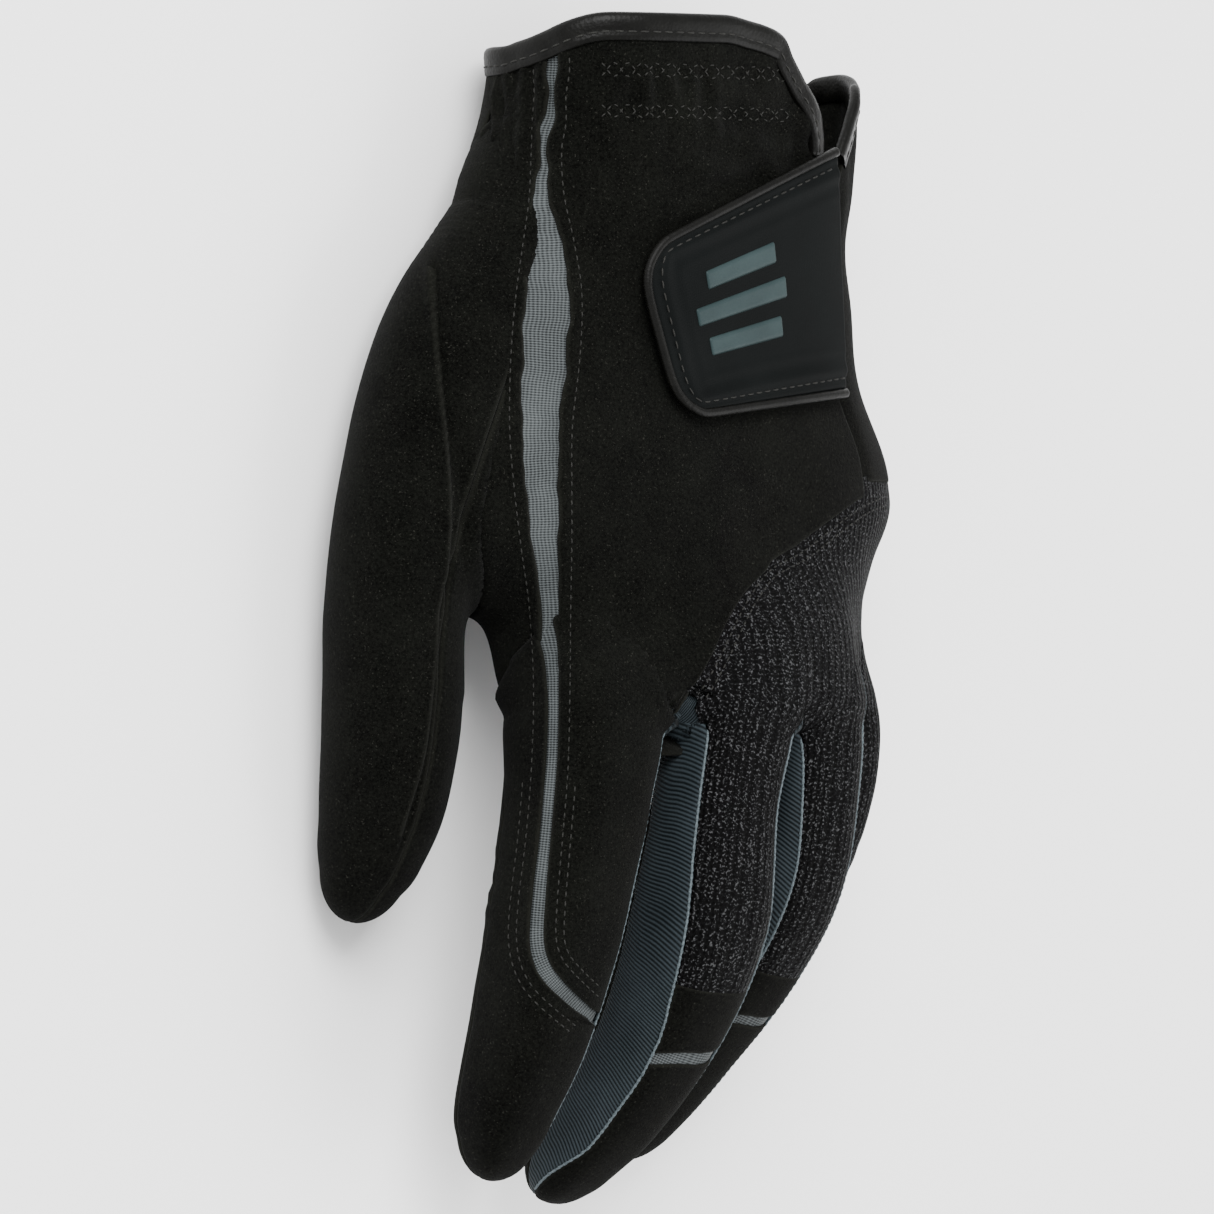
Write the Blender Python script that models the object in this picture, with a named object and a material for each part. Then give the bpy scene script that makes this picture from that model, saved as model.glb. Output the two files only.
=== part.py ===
"""A left-hand golf glove, empty, lying palm down in the shape of a relaxed hand.

+Z is the back of the hand, +Y the cuff, -Y the fingertips, +X the little-finger side and
-X the thumb side. The origin is on the surface that it lies on, in the middle of its box.
Every panel is a thin shell cut from one of three surfaces: the hand's loft, a finger's tube
or the thumb's tube. Lengths are in millimetres, turned into metres when a mesh is made.
"""

import math

import bmesh
import bpy
from mathutils import Vector

MM = 0.001

# Driving dimensions
SUEDE = 0.9  # wall of a suede panel
KNIT = 0.7  # wall of a knitted panel
BINDING = 1.7  # binding that wraps an edge
SEAM = 0.4  # clearance between two panels that are sewn together
LAYER_GAP = 0.25  # clearance between two layers that lie on each other
BINDING_WIDTH = 5.0
SHIFT_X = 19.0  # brings the middle of the box onto x = 0
SHIFT_Y = 0.25
ROUNDNESS = 2.6  # exponent of the hand's oval sections
VIEW_ANGLE = 45.0  # the closure tab is laid out as seen this far towards the thumb

# The hand's oval sections: y, centre x, centre z, half width, half height
HAND_SECTIONS = (
    (119, -2.9, 22.2, 43.5, 23.0),
    (100, -2.8, 22.0, 44.0, 23.0),
    (84, -4.0, 21.9, 43.8, 22.8),
    (73, -5.4, 21.4, 44.3, 22.3),
    (60, -8.0, 21.0, 49.5, 21.8),
    (44, -9.5, 21.0, 53.5, 21.8),
    (28, -7.6, 22.0, 58.5, 22.6),
    (11, -8.2, 26.0, 58.5, 20.5),
    (3, -4.4, 30.0, 54.6, 19.2),
    (-5, -2.7, 34.5, 51.0, 18.0),
    (-19, -6.0, 41.5, 48.0, 15.0),
)
RIDGE_X = 0.0  # the knuckles' arch is highest here
ARCH_THUMB_SIDE = 0.0042  # fall of the arch per square of the distance from the ridge
ARCH_LITTLE_SIDE = 0.0118
ARCH_FROM, ARCH_TO = 22.0, -16.0
HAND_END = -16.0  # the hand's rim, where the fingers start

# Where panels meet around the hand, in degrees from the little-finger side
STRIP_ACROSS = -11.4  # the stretch strip keeps to this line of the tilted view
STRIP_HALF = (1.3, 3.6)  # half its width at its ends and at its widest
STRIP_WIDEST = (100.0, 62.0, 5.0)
STRIP_GAP = 0.7
GUSSET_GAP = 3.5
THUMB_SEAM_ANGLE = 193.0
PALM_ULNAR_ANGLE = 345.0
CREST_ANGLE = 104.0  # the crotch of the index and middle fingers

# Cuff
CUFF_BACK = (110.0, 117.5)  # rim of the back at the thumb side and at the slit
CUFF_PALM = 111.0
SLIT_BOTTOM = 92.0
SLIT_ANGLES = (57.0, 63.0, 40.0, 80.0)  # its two sides at the bottom and at the rim
FLAP_PEAK = 105.0

# Thumb: y, centre x, centre z, radius
THUMB_BASE = (
    (92, -34.0, 17.0, 7.0),
    (84, -45.0, 17.0, 8.0),
    (75, -48.6, 17.2, 10.0),
    (60, -59.0, 17.4, 12.5),
    (44, -66.2, 17.2, 14.0),
    (20, -73.6, 17.0, 14.0),
    (0, -75.0, 15.5, 14.0),
    (-15, -75.1, 15.1, 13.9),
)
THUMB_BASE_RANGE = (-12.0, 83.0)
THUMB_GAP = 5.4
THUMB_CROTCH = 8.0
THUMB_TIP = (
    (-75.1, -17.4, 15.0, 13.8),
    (-75.6, -29.0, 14.6, 13.3),
    (-76.6, -40.0, 13.4, 12.3),
    (-78.0, -48.5, 11.6, 10.6),
    (-79.0, -54.5, 9.8, 8.9),
)

# Fingers: root to tip, centre x, y, z and half thickness
FINGERS = {
    "index": (
        (-43.2, -20, 36.4, 14.0),
        (-47.5, -38, 38.5, 12.8),
        (-53.0, -62, 38.0, 12.0),
        (-56.5, -84, 34.5, 11.0),
        (-58.4, -98, 30.0, 9.3),
        (-58.8, -107.0, 27.2, 7.6),
    ),
    "middle": (
        (-9.0, -20, 44.0, 11.2),
        (-16.0, -38, 46.6, 11.4),
        (-20.5, -62, 46.0, 12.8),
        (-22.5, -82, 38.5, 11.4),
        (-27.0, -99.5, 28.6, 9.5),
        (-32.5, -112.8, 18.6, 7.4),
    ),
    "ring": (
        (15.0, -20, 41.0, 10.3),
        (13.0, -38, 41.5, 10.8),
        (11.5, -56, 38.0, 10.8),
        (9.0, -73, 28.6, 10.2),
        (2.5, -90, 17.8, 9.3),
        (-5.5, -104.5, 9.6, 8.0),
    ),
    "little": (
        (33.6, -19, 29.0, 9.0),
        (35.6, -33, 28.0, 9.0),
        (35.5, -46, 23.5, 8.9),
        (34.5, -59, 16.5, 8.5),
        (28.0, -71, 10.6, 8.2),
        (23.0, -79, 8.4, 7.9),
    ),
}
FINGER_ROUNDNESS = 2.8
ROOT_GAP = 0.9  # between the hand's rim and a finger's root
HINGE_SHARES = {"index": 0.40, "middle": 0.41, "ring": 0.38, "little": 0.39}
BEND_RANGES = {"index": (-12, 16), "middle": (-28, 10), "ring": (-36, 0), "little": (-18, 0)}
HINGE_DEPTH = 0.35  # an axis lies this share of the finger's radius below its centre line
JOINT_GAP = 0.5

# Around a finger, in degrees from its little-finger side
BACK_ANGLES = (42.0, 138.0)
PALM_ANGLES = (208.0, 332.0)
INDEX_STRIP_ANGLES = (158.0, 167.0)
TIP_SPREAD = 16.0  # the side walls end this far from the tip, and back and palm close it
KNIT_SHARES = {"middle": 0.50, "ring": 0.50, "little": 0.53}  # the knitted share of the back
STRIP_SHARES = {"middle": (0.62, 0.65), "ring": (0.60, 0.63), "little": ()}  # the knuckle strips
SEAM_ANGLE = 2.4  # a seam's clearance around a finger

# Closure tab: its corners, across the view and along y
TAB_CORNERS = ((48.4, 43.0), (14.6, 37.6), (5.8, 70.0), (46.4, 92.0))
TAB_ROUND = 0.14
HOOK_SPAN = (0.42, 0.94, 0.10, 0.86)
EMBLEM_BARS = ((0.30, 0.40, 0.34, 0.74), (0.47, 0.57, 0.30, 0.78), (0.64, 0.74, 0.34, 0.70))


def clear_scene():
    for old in list(bpy.data.objects):
        bpy.data.objects.remove(old, do_unlink=True)


def material(name, colour, roughness, metallic=0.0):
    made = bpy.data.materials.new(name)
    made.use_nodes = True
    shader = made.node_tree.nodes["Principled BSDF"]
    shader.inputs["Base Color"].default_value = (*colour, 1.0)
    shader.inputs["Roughness"].default_value = roughness
    shader.inputs["Metallic"].default_value = metallic
    return made


def smooth_row(rows, at, key=0):
    """Reads a table of rows at one value of its key column, along a smooth curve."""
    descending = rows[0][key] > rows[-1][key]
    table = list(reversed(rows)) if descending else list(rows)
    at = min(max(at, table[0][key]), table[-1][key])
    i = max(k for k in range(len(table) - 1) if table[k][key] <= at + 1e-9)
    low, high = table[i], table[i + 1]
    before = table[max(i - 1, 0)]
    after = table[min(i + 2, len(table) - 1)]
    width = high[key] - low[key]
    t = (at - low[key]) / width
    result = []
    for column in range(len(low)):
        slope_low = (high[column] - before[column]) / max(high[key] - before[key], 1e-9)
        slope_high = (after[column] - low[column]) / max(after[key] - low[key], 1e-9)
        result.append(
            (2 * t**3 - 3 * t**2 + 1) * low[column]
            + (t**3 - 2 * t**2 + t) * width * slope_low
            + (3 * t**2 - 2 * t**3) * high[column]
            + (t**3 - t**2) * width * slope_high
        )
    return result


def ease(value, start, end):
    t = min(max((value - start) / (end - start), 0.0), 1.0)
    return t * t * (3 - 2 * t)


def arch(x, y):
    """How far the knuckles' arch lowers the section at x."""
    fall = ARCH_LITTLE_SIDE if x > RIDGE_X else ARCH_THUMB_SIDE
    return fall * (x - RIDGE_X) ** 2 * ease(y, ARCH_FROM, ARCH_TO)


def oval(angle, roundness):
    c, s = math.cos(math.radians(angle)), math.sin(math.radians(angle))
    power = 2.0 / roundness
    return math.copysign(abs(c) ** power, c), math.copysign(abs(s) ** power, s)


def hand_point(angle, y, inset=0.0):
    """A point of the hand's surface, moved inwards by inset."""
    _, xc, zc, a, b = smooth_row(HAND_SECTIONS, y)
    ox, oz = oval(angle, ROUNDNESS)
    x = xc + (a - inset) * ox
    z = zc + (b - inset) * oz - arch(x, y)
    return Vector((x, y, max(z, inset)))


def inside_hand(x, y, z, margin):
    _, xc, zc, a, b = smooth_row(HAND_SECTIONS, y)
    across = abs((x - xc) / (a + margin))
    up = abs((z + arch(x, y) - zc) / (b + margin))
    return across**ROUNDNESS + up**ROUNDNESS < 1.0


def thumb_base_point(angle, y, inset=0.0):
    _, xc, zc, r = smooth_row(THUMB_BASE, y)
    c, s = math.cos(math.radians(angle)), math.sin(math.radians(angle))
    return Vector((xc + (r - inset) * c, y, max(zc + (r - inset) * s, inset)))


def thumb_meets_hand(y, side):
    """The hand's angle where its wall runs into the thumb, on the back or the palm side."""
    _, xc, zc, r = smooth_row(THUMB_BASE, y)
    step = -0.5 if side == "back" else 0.5
    angle = THUMB_SEAM_ANGLE
    while 100.0 < angle < 290.0:
        p = hand_point(angle, y)
        if math.hypot(p.x - xc, p.z - zc) > r + 1.3:
            break
        angle += step
    return angle


def hand_meets_thumb(y, side):
    """The thumb's angle where its wall runs into the hand."""
    step = -1.0 if side == "back" else 1.0
    angle = 180.0
    while 2.0 < angle < 358.0:
        p = thumb_base_point(angle, y)
        if inside_hand(p.x, y, p.z, 1.3):
            break
        angle += step
    return angle


def thumb_side_limit(y, side):
    """Edge of the hand's panels beside the thumb: the seam above it, the crotch below it."""
    top = THUMB_BASE_RANGE[1]
    joined = thumb_meets_hand(min(max(y, THUMB_CROTCH), top), side)
    if side == "back":
        joined = max(joined, strip_edge(1, 2.5)(y))
    seam = THUMB_SEAM_ANGLE - 0.5 if side == "back" else THUMB_SEAM_ANGLE + 0.5
    if y > top:
        t = ease(y, top, top + 7.0)
        return joined + (seam - joined) * t
    return joined


def view_across(p):
    """How far across the tilted view a point lies."""
    a = math.radians(VIEW_ANGLE)
    return p.x * math.cos(a) + p.z * math.sin(a)


def angle_across(across, y, lift=0.0):
    """The angle around the hand's back that lies at this place in the view."""
    low, high = 40.0, 215.0
    for _ in range(24):
        middle = (low + high) / 2
        if view_across(hand_point(middle, y, -lift)) > across:
            low = middle
        else:
            high = middle
    return (low + high) / 2


def on_back(across, y, lift):
    """The point of the hand's back at this place in the view, lifted off the surface."""
    return hand_point(angle_across(across, y, lift), y, -lift)


def strip_edge(sign, clearance=0.0):
    """One edge of the stretch strip as an angle; sign is -1 on the little-finger side."""

    def edge(y):
        top, widest, bottom = STRIP_WIDEST
        swell = ease(y, top, widest) * ease(y, bottom, widest - 12.0)
        half = STRIP_HALF[0] + (STRIP_HALF[1] - STRIP_HALF[0]) * swell + clearance
        return angle_across(STRIP_ACROSS - sign * half, y)

    return edge


class Tube:
    """A curved tube with a round end, read by angle and by distance from its root."""

    def __init__(self, rows, roundness=2.0):
        self.rows = [(i, *row) for i, row in enumerate(rows)]
        self.roundness = roundness
        count = 60
        last = len(rows) - 1
        self.samples = [smooth_row(self.rows, last * i / count) for i in range(count + 1)]
        self.lengths = [0.0]
        for before, after in zip(self.samples, self.samples[1:]):
            step = (Vector(after[1:4]) - Vector(before[1:4])).length
            self.lengths.append(self.lengths[-1] + step)
        self.tip_radius = rows[-1][3]
        self.length = self.lengths[-1] + self.tip_radius * 0.92

    def centre(self, along):
        if along < 0.0:
            start, after = Vector(self.samples[0][1:4]), Vector(self.samples[2][1:4])
            return start + (after - start).normalized() * along, self.samples[0][4]
        if along >= self.lengths[-1]:
            end, prior = Vector(self.samples[-1][1:4]), Vector(self.samples[-3][1:4])
            beyond = (end - prior).normalized() * (along - self.lengths[-1])
            return end + beyond, self.tip_radius
        i = max(k for k in range(len(self.lengths) - 1) if self.lengths[k] <= along)
        t = (along - self.lengths[i]) / (self.lengths[i + 1] - self.lengths[i])
        row = [p + (q - p) * t for p, q in zip(self.samples[i], self.samples[i + 1])]
        return Vector(row[1:4]), row[4]

    def point(self, angle, along, inset=0.0):
        """The tip is a half ball, flattened a little along the tube."""
        end = self.length - inset
        along = along * end / self.length
        here, radius = self.centre(along)
        ahead, _ = self.centre(along + 1.0)
        behind, _ = self.centre(along - 1.0)
        forward = (ahead - behind).normalized()
        side = Vector((1.0, 0.0, 0.0))
        side = (side - forward * side.dot(forward)).normalized()
        up = side.cross(forward).normalized()
        if up.z < 0:
            up = -up
        cap = self.tip_radius * 1.5
        left = max(end - along, 0.02)
        closing = 1.0 if left > cap else math.sqrt(max(1 - (1 - left / cap) ** 2, 0.0))
        r = max((radius - inset) * closing, 0.35)
        ox, oz = oval(angle, self.roundness)
        p = here + side * (r * ox) + up * (r * oz)
        p.z = max(p.z, inset)
        return p


def shell(name, surface, angles, alongs, size, insets, look, pivot=None):
    """A closed panel: a grid on the outer surface, one on the inner, and walls between.

    angles and alongs are limits, each a number or a function of the other coordinate:
    angles of the distance along, alongs of the share across the panel. alongs may have a
    stop between its ends, and size then counts the rows of both stretches.
    """
    across, down = size
    outer, inner = insets
    counts = down if isinstance(down, tuple) else (down,)

    def limit(value, at):
        return value(at) if callable(value) else value

    def grid(inset):
        points = []
        for j in range(across + 1):
            share = j / across
            stops = [limit(value, share) for value in alongs]
            places = [stops[0]]
            for start, end, count in zip(stops, stops[1:], counts):
                places += [start + (end - start) * i / count for i in range(1, count + 1)]
            column = []
            for along in places:
                first, last = limit(angles[0], along), limit(angles[1], along)
                column.append(surface(first + (last - first) * share, along, inset))
            points.append(column)
        return points

    return solid_from_grids(name, grid(outer), grid(inner), look, pivot)


def solid_from_grids(name, top, bottom, look, pivot=None):
    """Two grids of the same size become the two faces of one closed solid."""
    origin = (pivot or Vector((0, 0, 0))) * 1.0
    shift = Vector((SHIFT_X, SHIFT_Y, 0.0))
    mesh = bmesh.new()
    layers = []
    for points in (top, bottom):
        layer = [[mesh.verts.new((p + shift - origin) * MM) for p in column] for column in points]
        layers.append(layer)
    width, height = len(top), len(top[0])
    for layer in layers:
        for j in range(width - 1):
            for i in range(height - 1):
                quad = (layer[j][i], layer[j + 1][i], layer[j + 1][i + 1], layer[j][i + 1])
                mesh.faces.new(quad)
    rim = [(j, 0) for j in range(width)]
    rim += [(width - 1, i) for i in range(1, height)]
    rim += [(j, height - 1) for j in range(width - 2, -1, -1)]
    rim += [(0, i) for i in range(height - 2, 0, -1)]
    for (j, i), (k, m) in zip(rim, rim[1:] + rim[:1]):
        mesh.faces.new((layers[0][j][i], layers[0][k][m], layers[1][k][m], layers[1][j][i]))
    return finish_mesh(name, mesh, look, pivot)


def finish_mesh(name, mesh, look, pivot=None):
    bmesh.ops.triangulate(mesh, faces=mesh.faces[:])
    bmesh.ops.recalc_face_normals(mesh, faces=mesh.faces[:])
    data = bpy.data.meshes.new(name)
    mesh.to_mesh(data)
    mesh.free()
    data.materials.append(look)
    data.shade_smooth()
    data.set_sharp_from_angle(angle=math.radians(35))
    made = bpy.data.objects.new(name, data)
    bpy.context.collection.objects.link(made)
    if pivot is not None:
        made.parent = hinge_empty(pivot)
    return made


def hinge_empty(pivot):
    """One empty on each joint's axis, shared by the pieces that turn about it."""
    name = "hinge_%d_%d" % (round(pivot.x), round(pivot.y))
    if name in bpy.data.objects:
        return bpy.data.objects[name]
    empty = bpy.data.objects.new(name, None)
    empty.location = pivot * MM
    bpy.context.collection.objects.link(empty)
    return empty


def cuff_rim(share):
    """The back's rim: it rises from the thumb side to the slit, whose corner is round."""
    corner = 4.0 * max(0.0, 1.0 - share / 0.12) ** 2
    return CUFF_BACK[1] + (CUFF_BACK[0] - CUFF_BACK[1]) * ease(share, 0.5, 1.08) - corner


def slit_back_side(y):
    low, high = SLIT_ANGLES[1], SLIT_ANGLES[3]
    return low + (high - low) * ease(y, SLIT_BOTTOM, CUFF_BACK[1])


def slit_flap_side(y):
    low, high = SLIT_ANGLES[0], SLIT_ANGLES[2]
    return low + (high - low) * min(max((y - SLIT_BOTTOM) / (FLAP_PEAK - SLIT_BOTTOM), 0), 1)


def rim_share_on_back(angle):
    return (angle - SLIT_ANGLES[3]) / (THUMB_SEAM_ANGLE - SLIT_ANGLES[3])


def rim_on_back(angle):
    return cuff_rim(min(max(rim_share_on_back(angle), 0.0), 1.0))


def mesh_boundary(angle):
    """Where the suede back gives way to the knitted knuckle panel, by angle."""
    return 26.0 - 43.0 * ease(angle, 34.0, CREST_ANGLE + 4.0)


def side_top(share):
    """The flap's upper edge: highest at the slit side, level with the palm behind it."""
    return FLAP_PEAK - BINDING_WIDTH + 2.5 * math.sin(math.pi * min(share * 1.2, 1.0))


def hand_body(looks):
    suede, knit, grey, binding = looks["suede"], looks["knit"], looks["grey"], looks["binding"]
    wall, thin = (0.0, SUEDE), (0.0, KNIT)
    edge = (-0.4, BINDING - 0.4)
    lap = BINDING_WIDTH + SEAM

    def back_left(y):
        return slit_back_side(y) + 5.0 * ease(y, 78.0, 88.0)

    def back_low(share):
        y = 0.0
        for _ in range(12):
            first, last = back_left(y), strip_edge(-1, STRIP_GAP)(y)
            y = mesh_boundary(first + (last - first) * share) + 2 * SEAM
        return y

    def below_binding(first, last):
        return lambda share: rim_on_back(first + (last - first) * share) - lap

    strip_low, strip_high = strip_edge(-1)(CUFF_PALM), strip_edge(1)(CUFF_PALM)
    shell(
        "back_panel", hand_point, (back_left, strip_edge(-1, STRIP_GAP)),
        (back_low, below_binding(SLIT_ANGLES[3], strip_low)),
        (14, 16), wall, suede,
    )
    shell(
        "stretch_strip", hand_point, (strip_edge(-1), strip_edge(1)),
        (HAND_END, below_binding(strip_low, strip_high)), (2, 18), (0.3, 0.3 + KNIT), grey,
    )
    shell(
        "thumb_side_panel", hand_point,
        (strip_edge(1, STRIP_GAP), lambda y: thumb_side_limit(y, "back")),
        (HAND_END, THUMB_CROTCH, below_binding(strip_high, THUMB_SEAM_ANGLE)), (4, (4, 18)),
        wall, suede,
    )
    shell(
        "palm_panel", hand_point,
        (lambda y: thumb_side_limit(y, "palm"), PALM_ULNAR_ANGLE),
        (HAND_END, THUMB_CROTCH, CUFF_PALM - lap), (16, (4, 14)), wall, suede,
    )
    shell(
        "knuckle_mesh_panel", hand_point, (22.0, CREST_ANGLE),
        (HAND_END, lambda share: mesh_boundary(22.0 + (CREST_ANGLE - 22.0) * share)),
        (16, 5), thin, knit,
    )
    shell(
        "little_side_panel", hand_point, (PALM_ULNAR_ANGLE - 359.0, 20.5),
        (HAND_END, 26.0), (4, 6), wall, suede,
    )
    shell(
        "closure_side_panel", hand_point,
        (PALM_ULNAR_ANGLE - 359.0, lambda y: slit_flap_side(y) - 1.0 - 4.6 * ease(y, 78.0, 88.0)),
        (27.0, side_top), (7, 9), wall, suede,
    )
    shell(
        "thumb_gusset", hand_point,
        (
            lambda y: thumb_side_limit(y, "back") + GUSSET_GAP,
            lambda y: thumb_side_limit(y, "palm") - GUSSET_GAP,
        ),
        (HAND_END, THUMB_CROTCH - 1.5), (6, 4), wall, suede,
    )
    shell(
        "thumb_base_panel", thumb_base_point,
        (lambda y: hand_meets_thumb(y, "back"), lambda y: hand_meets_thumb(y, "palm")),
        (THUMB_BASE_RANGE[0], THUMB_CROTCH, THUMB_BASE_RANGE[1]), (10, (3, 12)), wall, suede,
    )
    shell(
        "cuff_binding_back", hand_point, (SLIT_ANGLES[3], THUMB_SEAM_ANGLE - 0.5),
        (lambda share: cuff_rim(share) - BINDING_WIDTH, cuff_rim), (16, 1), edge, binding,
    )
    shell(
        "cuff_binding_palm", hand_point, (THUMB_SEAM_ANGLE + 0.5, PALM_ULNAR_ANGLE),
        (CUFF_PALM - BINDING_WIDTH, CUFF_PALM), (16, 1), (0.0, BINDING), binding,
    )
    shell(
        "cuff_binding_side", hand_point,
        (PALM_ULNAR_ANGLE - 359.0, lambda y: slit_flap_side(min(y, FLAP_PEAK)) - 1.0),
        (lambda share: side_top(share) + SEAM, lambda share: side_top(share) + lap),
        (7, 1), edge, binding,
    )
    shell(
        "slit_binding_back", hand_point, (slit_back_side, lambda y: slit_back_side(y) + 3.9),
        (SLIT_BOTTOM - 2.0, CUFF_BACK[1] - 10.0), (1, 6), edge, binding,
    )
    shell(
        "slit_binding_side", hand_point,
        (lambda y: slit_flap_side(y) - 3.6, lambda y: slit_flap_side(y)),
        (SLIT_BOTTOM - 2.0, FLAP_PEAK - BINDING_WIDTH - 1.0), (1, 4), edge, binding,
    )
    shell(
        "cuff_elastic", hand_point, (86.0, 140.0), (96.0, 106.0), (7, 1),
        (SUEDE + LAYER_GAP, SUEDE + LAYER_GAP + 0.9), looks["elastic"],
    )
    shell(
        "loop_patch", hand_point, (84.0, 112.0), (47.0, 73.0), (6, 4),
        (-LAYER_GAP - 0.6, -LAYER_GAP), looks["loop"],
    )


def tab_outline(p, q):
    """p runs from the sewn root to the free end, q from the knuckle side to the cuff side."""
    reach = 1.0 - TAB_ROUND * abs(2 * q - 1) ** 6
    p = p * reach
    root_low, tip_low, tip_high, root_high = TAB_CORNERS
    low = [a + (b - a) * p for a, b in zip(root_low, tip_low)]
    high = [a + (b - a) * p for a, b in zip(root_high, tip_high)]
    return [a + (b - a) * q for a, b in zip(low, high)]


def tab_point(p, q, lift):
    across, y = tab_outline(p, q)
    return on_back(across, y, lift)


def tab_pad(name, span, size, lifts, look, pivot):
    """A flat layer of the tab over a span of its outline."""
    p0, p1, q0, q1 = span
    grids = []
    for lift in lifts:
        columns = []
        for j in range(size[0] + 1):
            p = p0 + (p1 - p0) * j / size[0]
            column = []
            for i in range(size[1] + 1):
                column.append(tab_point(p, q0 + (q1 - q0) * i / size[1], lift))
            columns.append(column)
        grids.append(columns)
    return solid_from_grids(name, grids[0], grids[1], look, pivot)


def tab_hinge():
    """The axis along the tab's sewn edge: a point on it, and its direction."""
    low, high = tab_point(0.0, 0.0, 2.6), tab_point(0.0, 1.0, 2.6)
    shift = Vector((SHIFT_X, SHIFT_Y, 0.0))
    return (low + high) / 2 + shift, (high - low).normalized()


def closure_tab(looks):
    pivot, _ = tab_hinge()
    base = 0.6 + 2 * LAYER_GAP
    hook = (base + 0.7, base)
    backing = (hook[0] + LAYER_GAP + 0.6, hook[0] + LAYER_GAP)
    face = (backing[0] + LAYER_GAP + 0.9, backing[0] + LAYER_GAP)
    emblem = (face[0] + LAYER_GAP + 0.35, face[0] + LAYER_GAP)
    tab_pad("hook_patch", HOOK_SPAN, (6, 5), hook, looks["hook"], pivot)
    tab_pad("tab_backing", (0.0, 0.95, 0.05, 0.95), (9, 8), backing, looks["suede"], pivot)
    tab_pad("tab_face", (0.02, 0.95, 0.05, 0.95), (9, 8), face, looks["rubber"], pivot)
    tab_piping(looks["binding"], pivot, (face[0] + 0.1, backing[1] - 0.1))
    for number, (q0, q1, p0, p1) in enumerate(EMBLEM_BARS, 1):
        name = "tab_bar_%d" % number
        tab_pad(name, (p0, p1, q0, q1), (3, 1), emblem, looks["grey_rubber"], pivot)


def tab_piping(look, pivot, lifts):
    """A bead round the three free sides of the tab."""
    inner, outer = 0.966, 1.0
    route = [(t / 8, 0.0) for t in range(9)]
    route += [(1.0, t / 10) for t in range(1, 10)]
    route += [(1.0 - t / 8, 1.0) for t in range(9)]
    grids = []
    for lift in lifts:
        columns = []
        for p, q in route:
            column = []
            for scale in (inner, outer):
                spread = 0.5 + (q - 0.5) * (scale if scale < 1 else 1.0)
                near = 0.5 + (q - 0.5) * 0.93 if scale < 1 else spread
                column.append(tab_point(p * scale, near, lift))
            columns.append(column)
        grids.append(columns)
    solid_from_grids("tab_piping", grids[0], grids[1], look, pivot)


def root_along(tube, angle):
    """How far along the tube a finger's wall starts, so that it clears the hand's rim."""
    target = HAND_END - ROOT_GAP
    low, high = -12.0, 20.0
    for _ in range(24):
        middle = (low + high) / 2
        if tube.point(angle, middle).y > target:
            low = middle
        else:
            high = middle
    return high


def finger_hinge(name, tube):
    """The middle knuckle's axis crosses the finger a little below its centre line."""
    centre, radius = tube.centre(tube.length * HINGE_SHARES[name])
    return centre + Vector((SHIFT_X, SHIFT_Y, -HINGE_DEPTH * radius))


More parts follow.
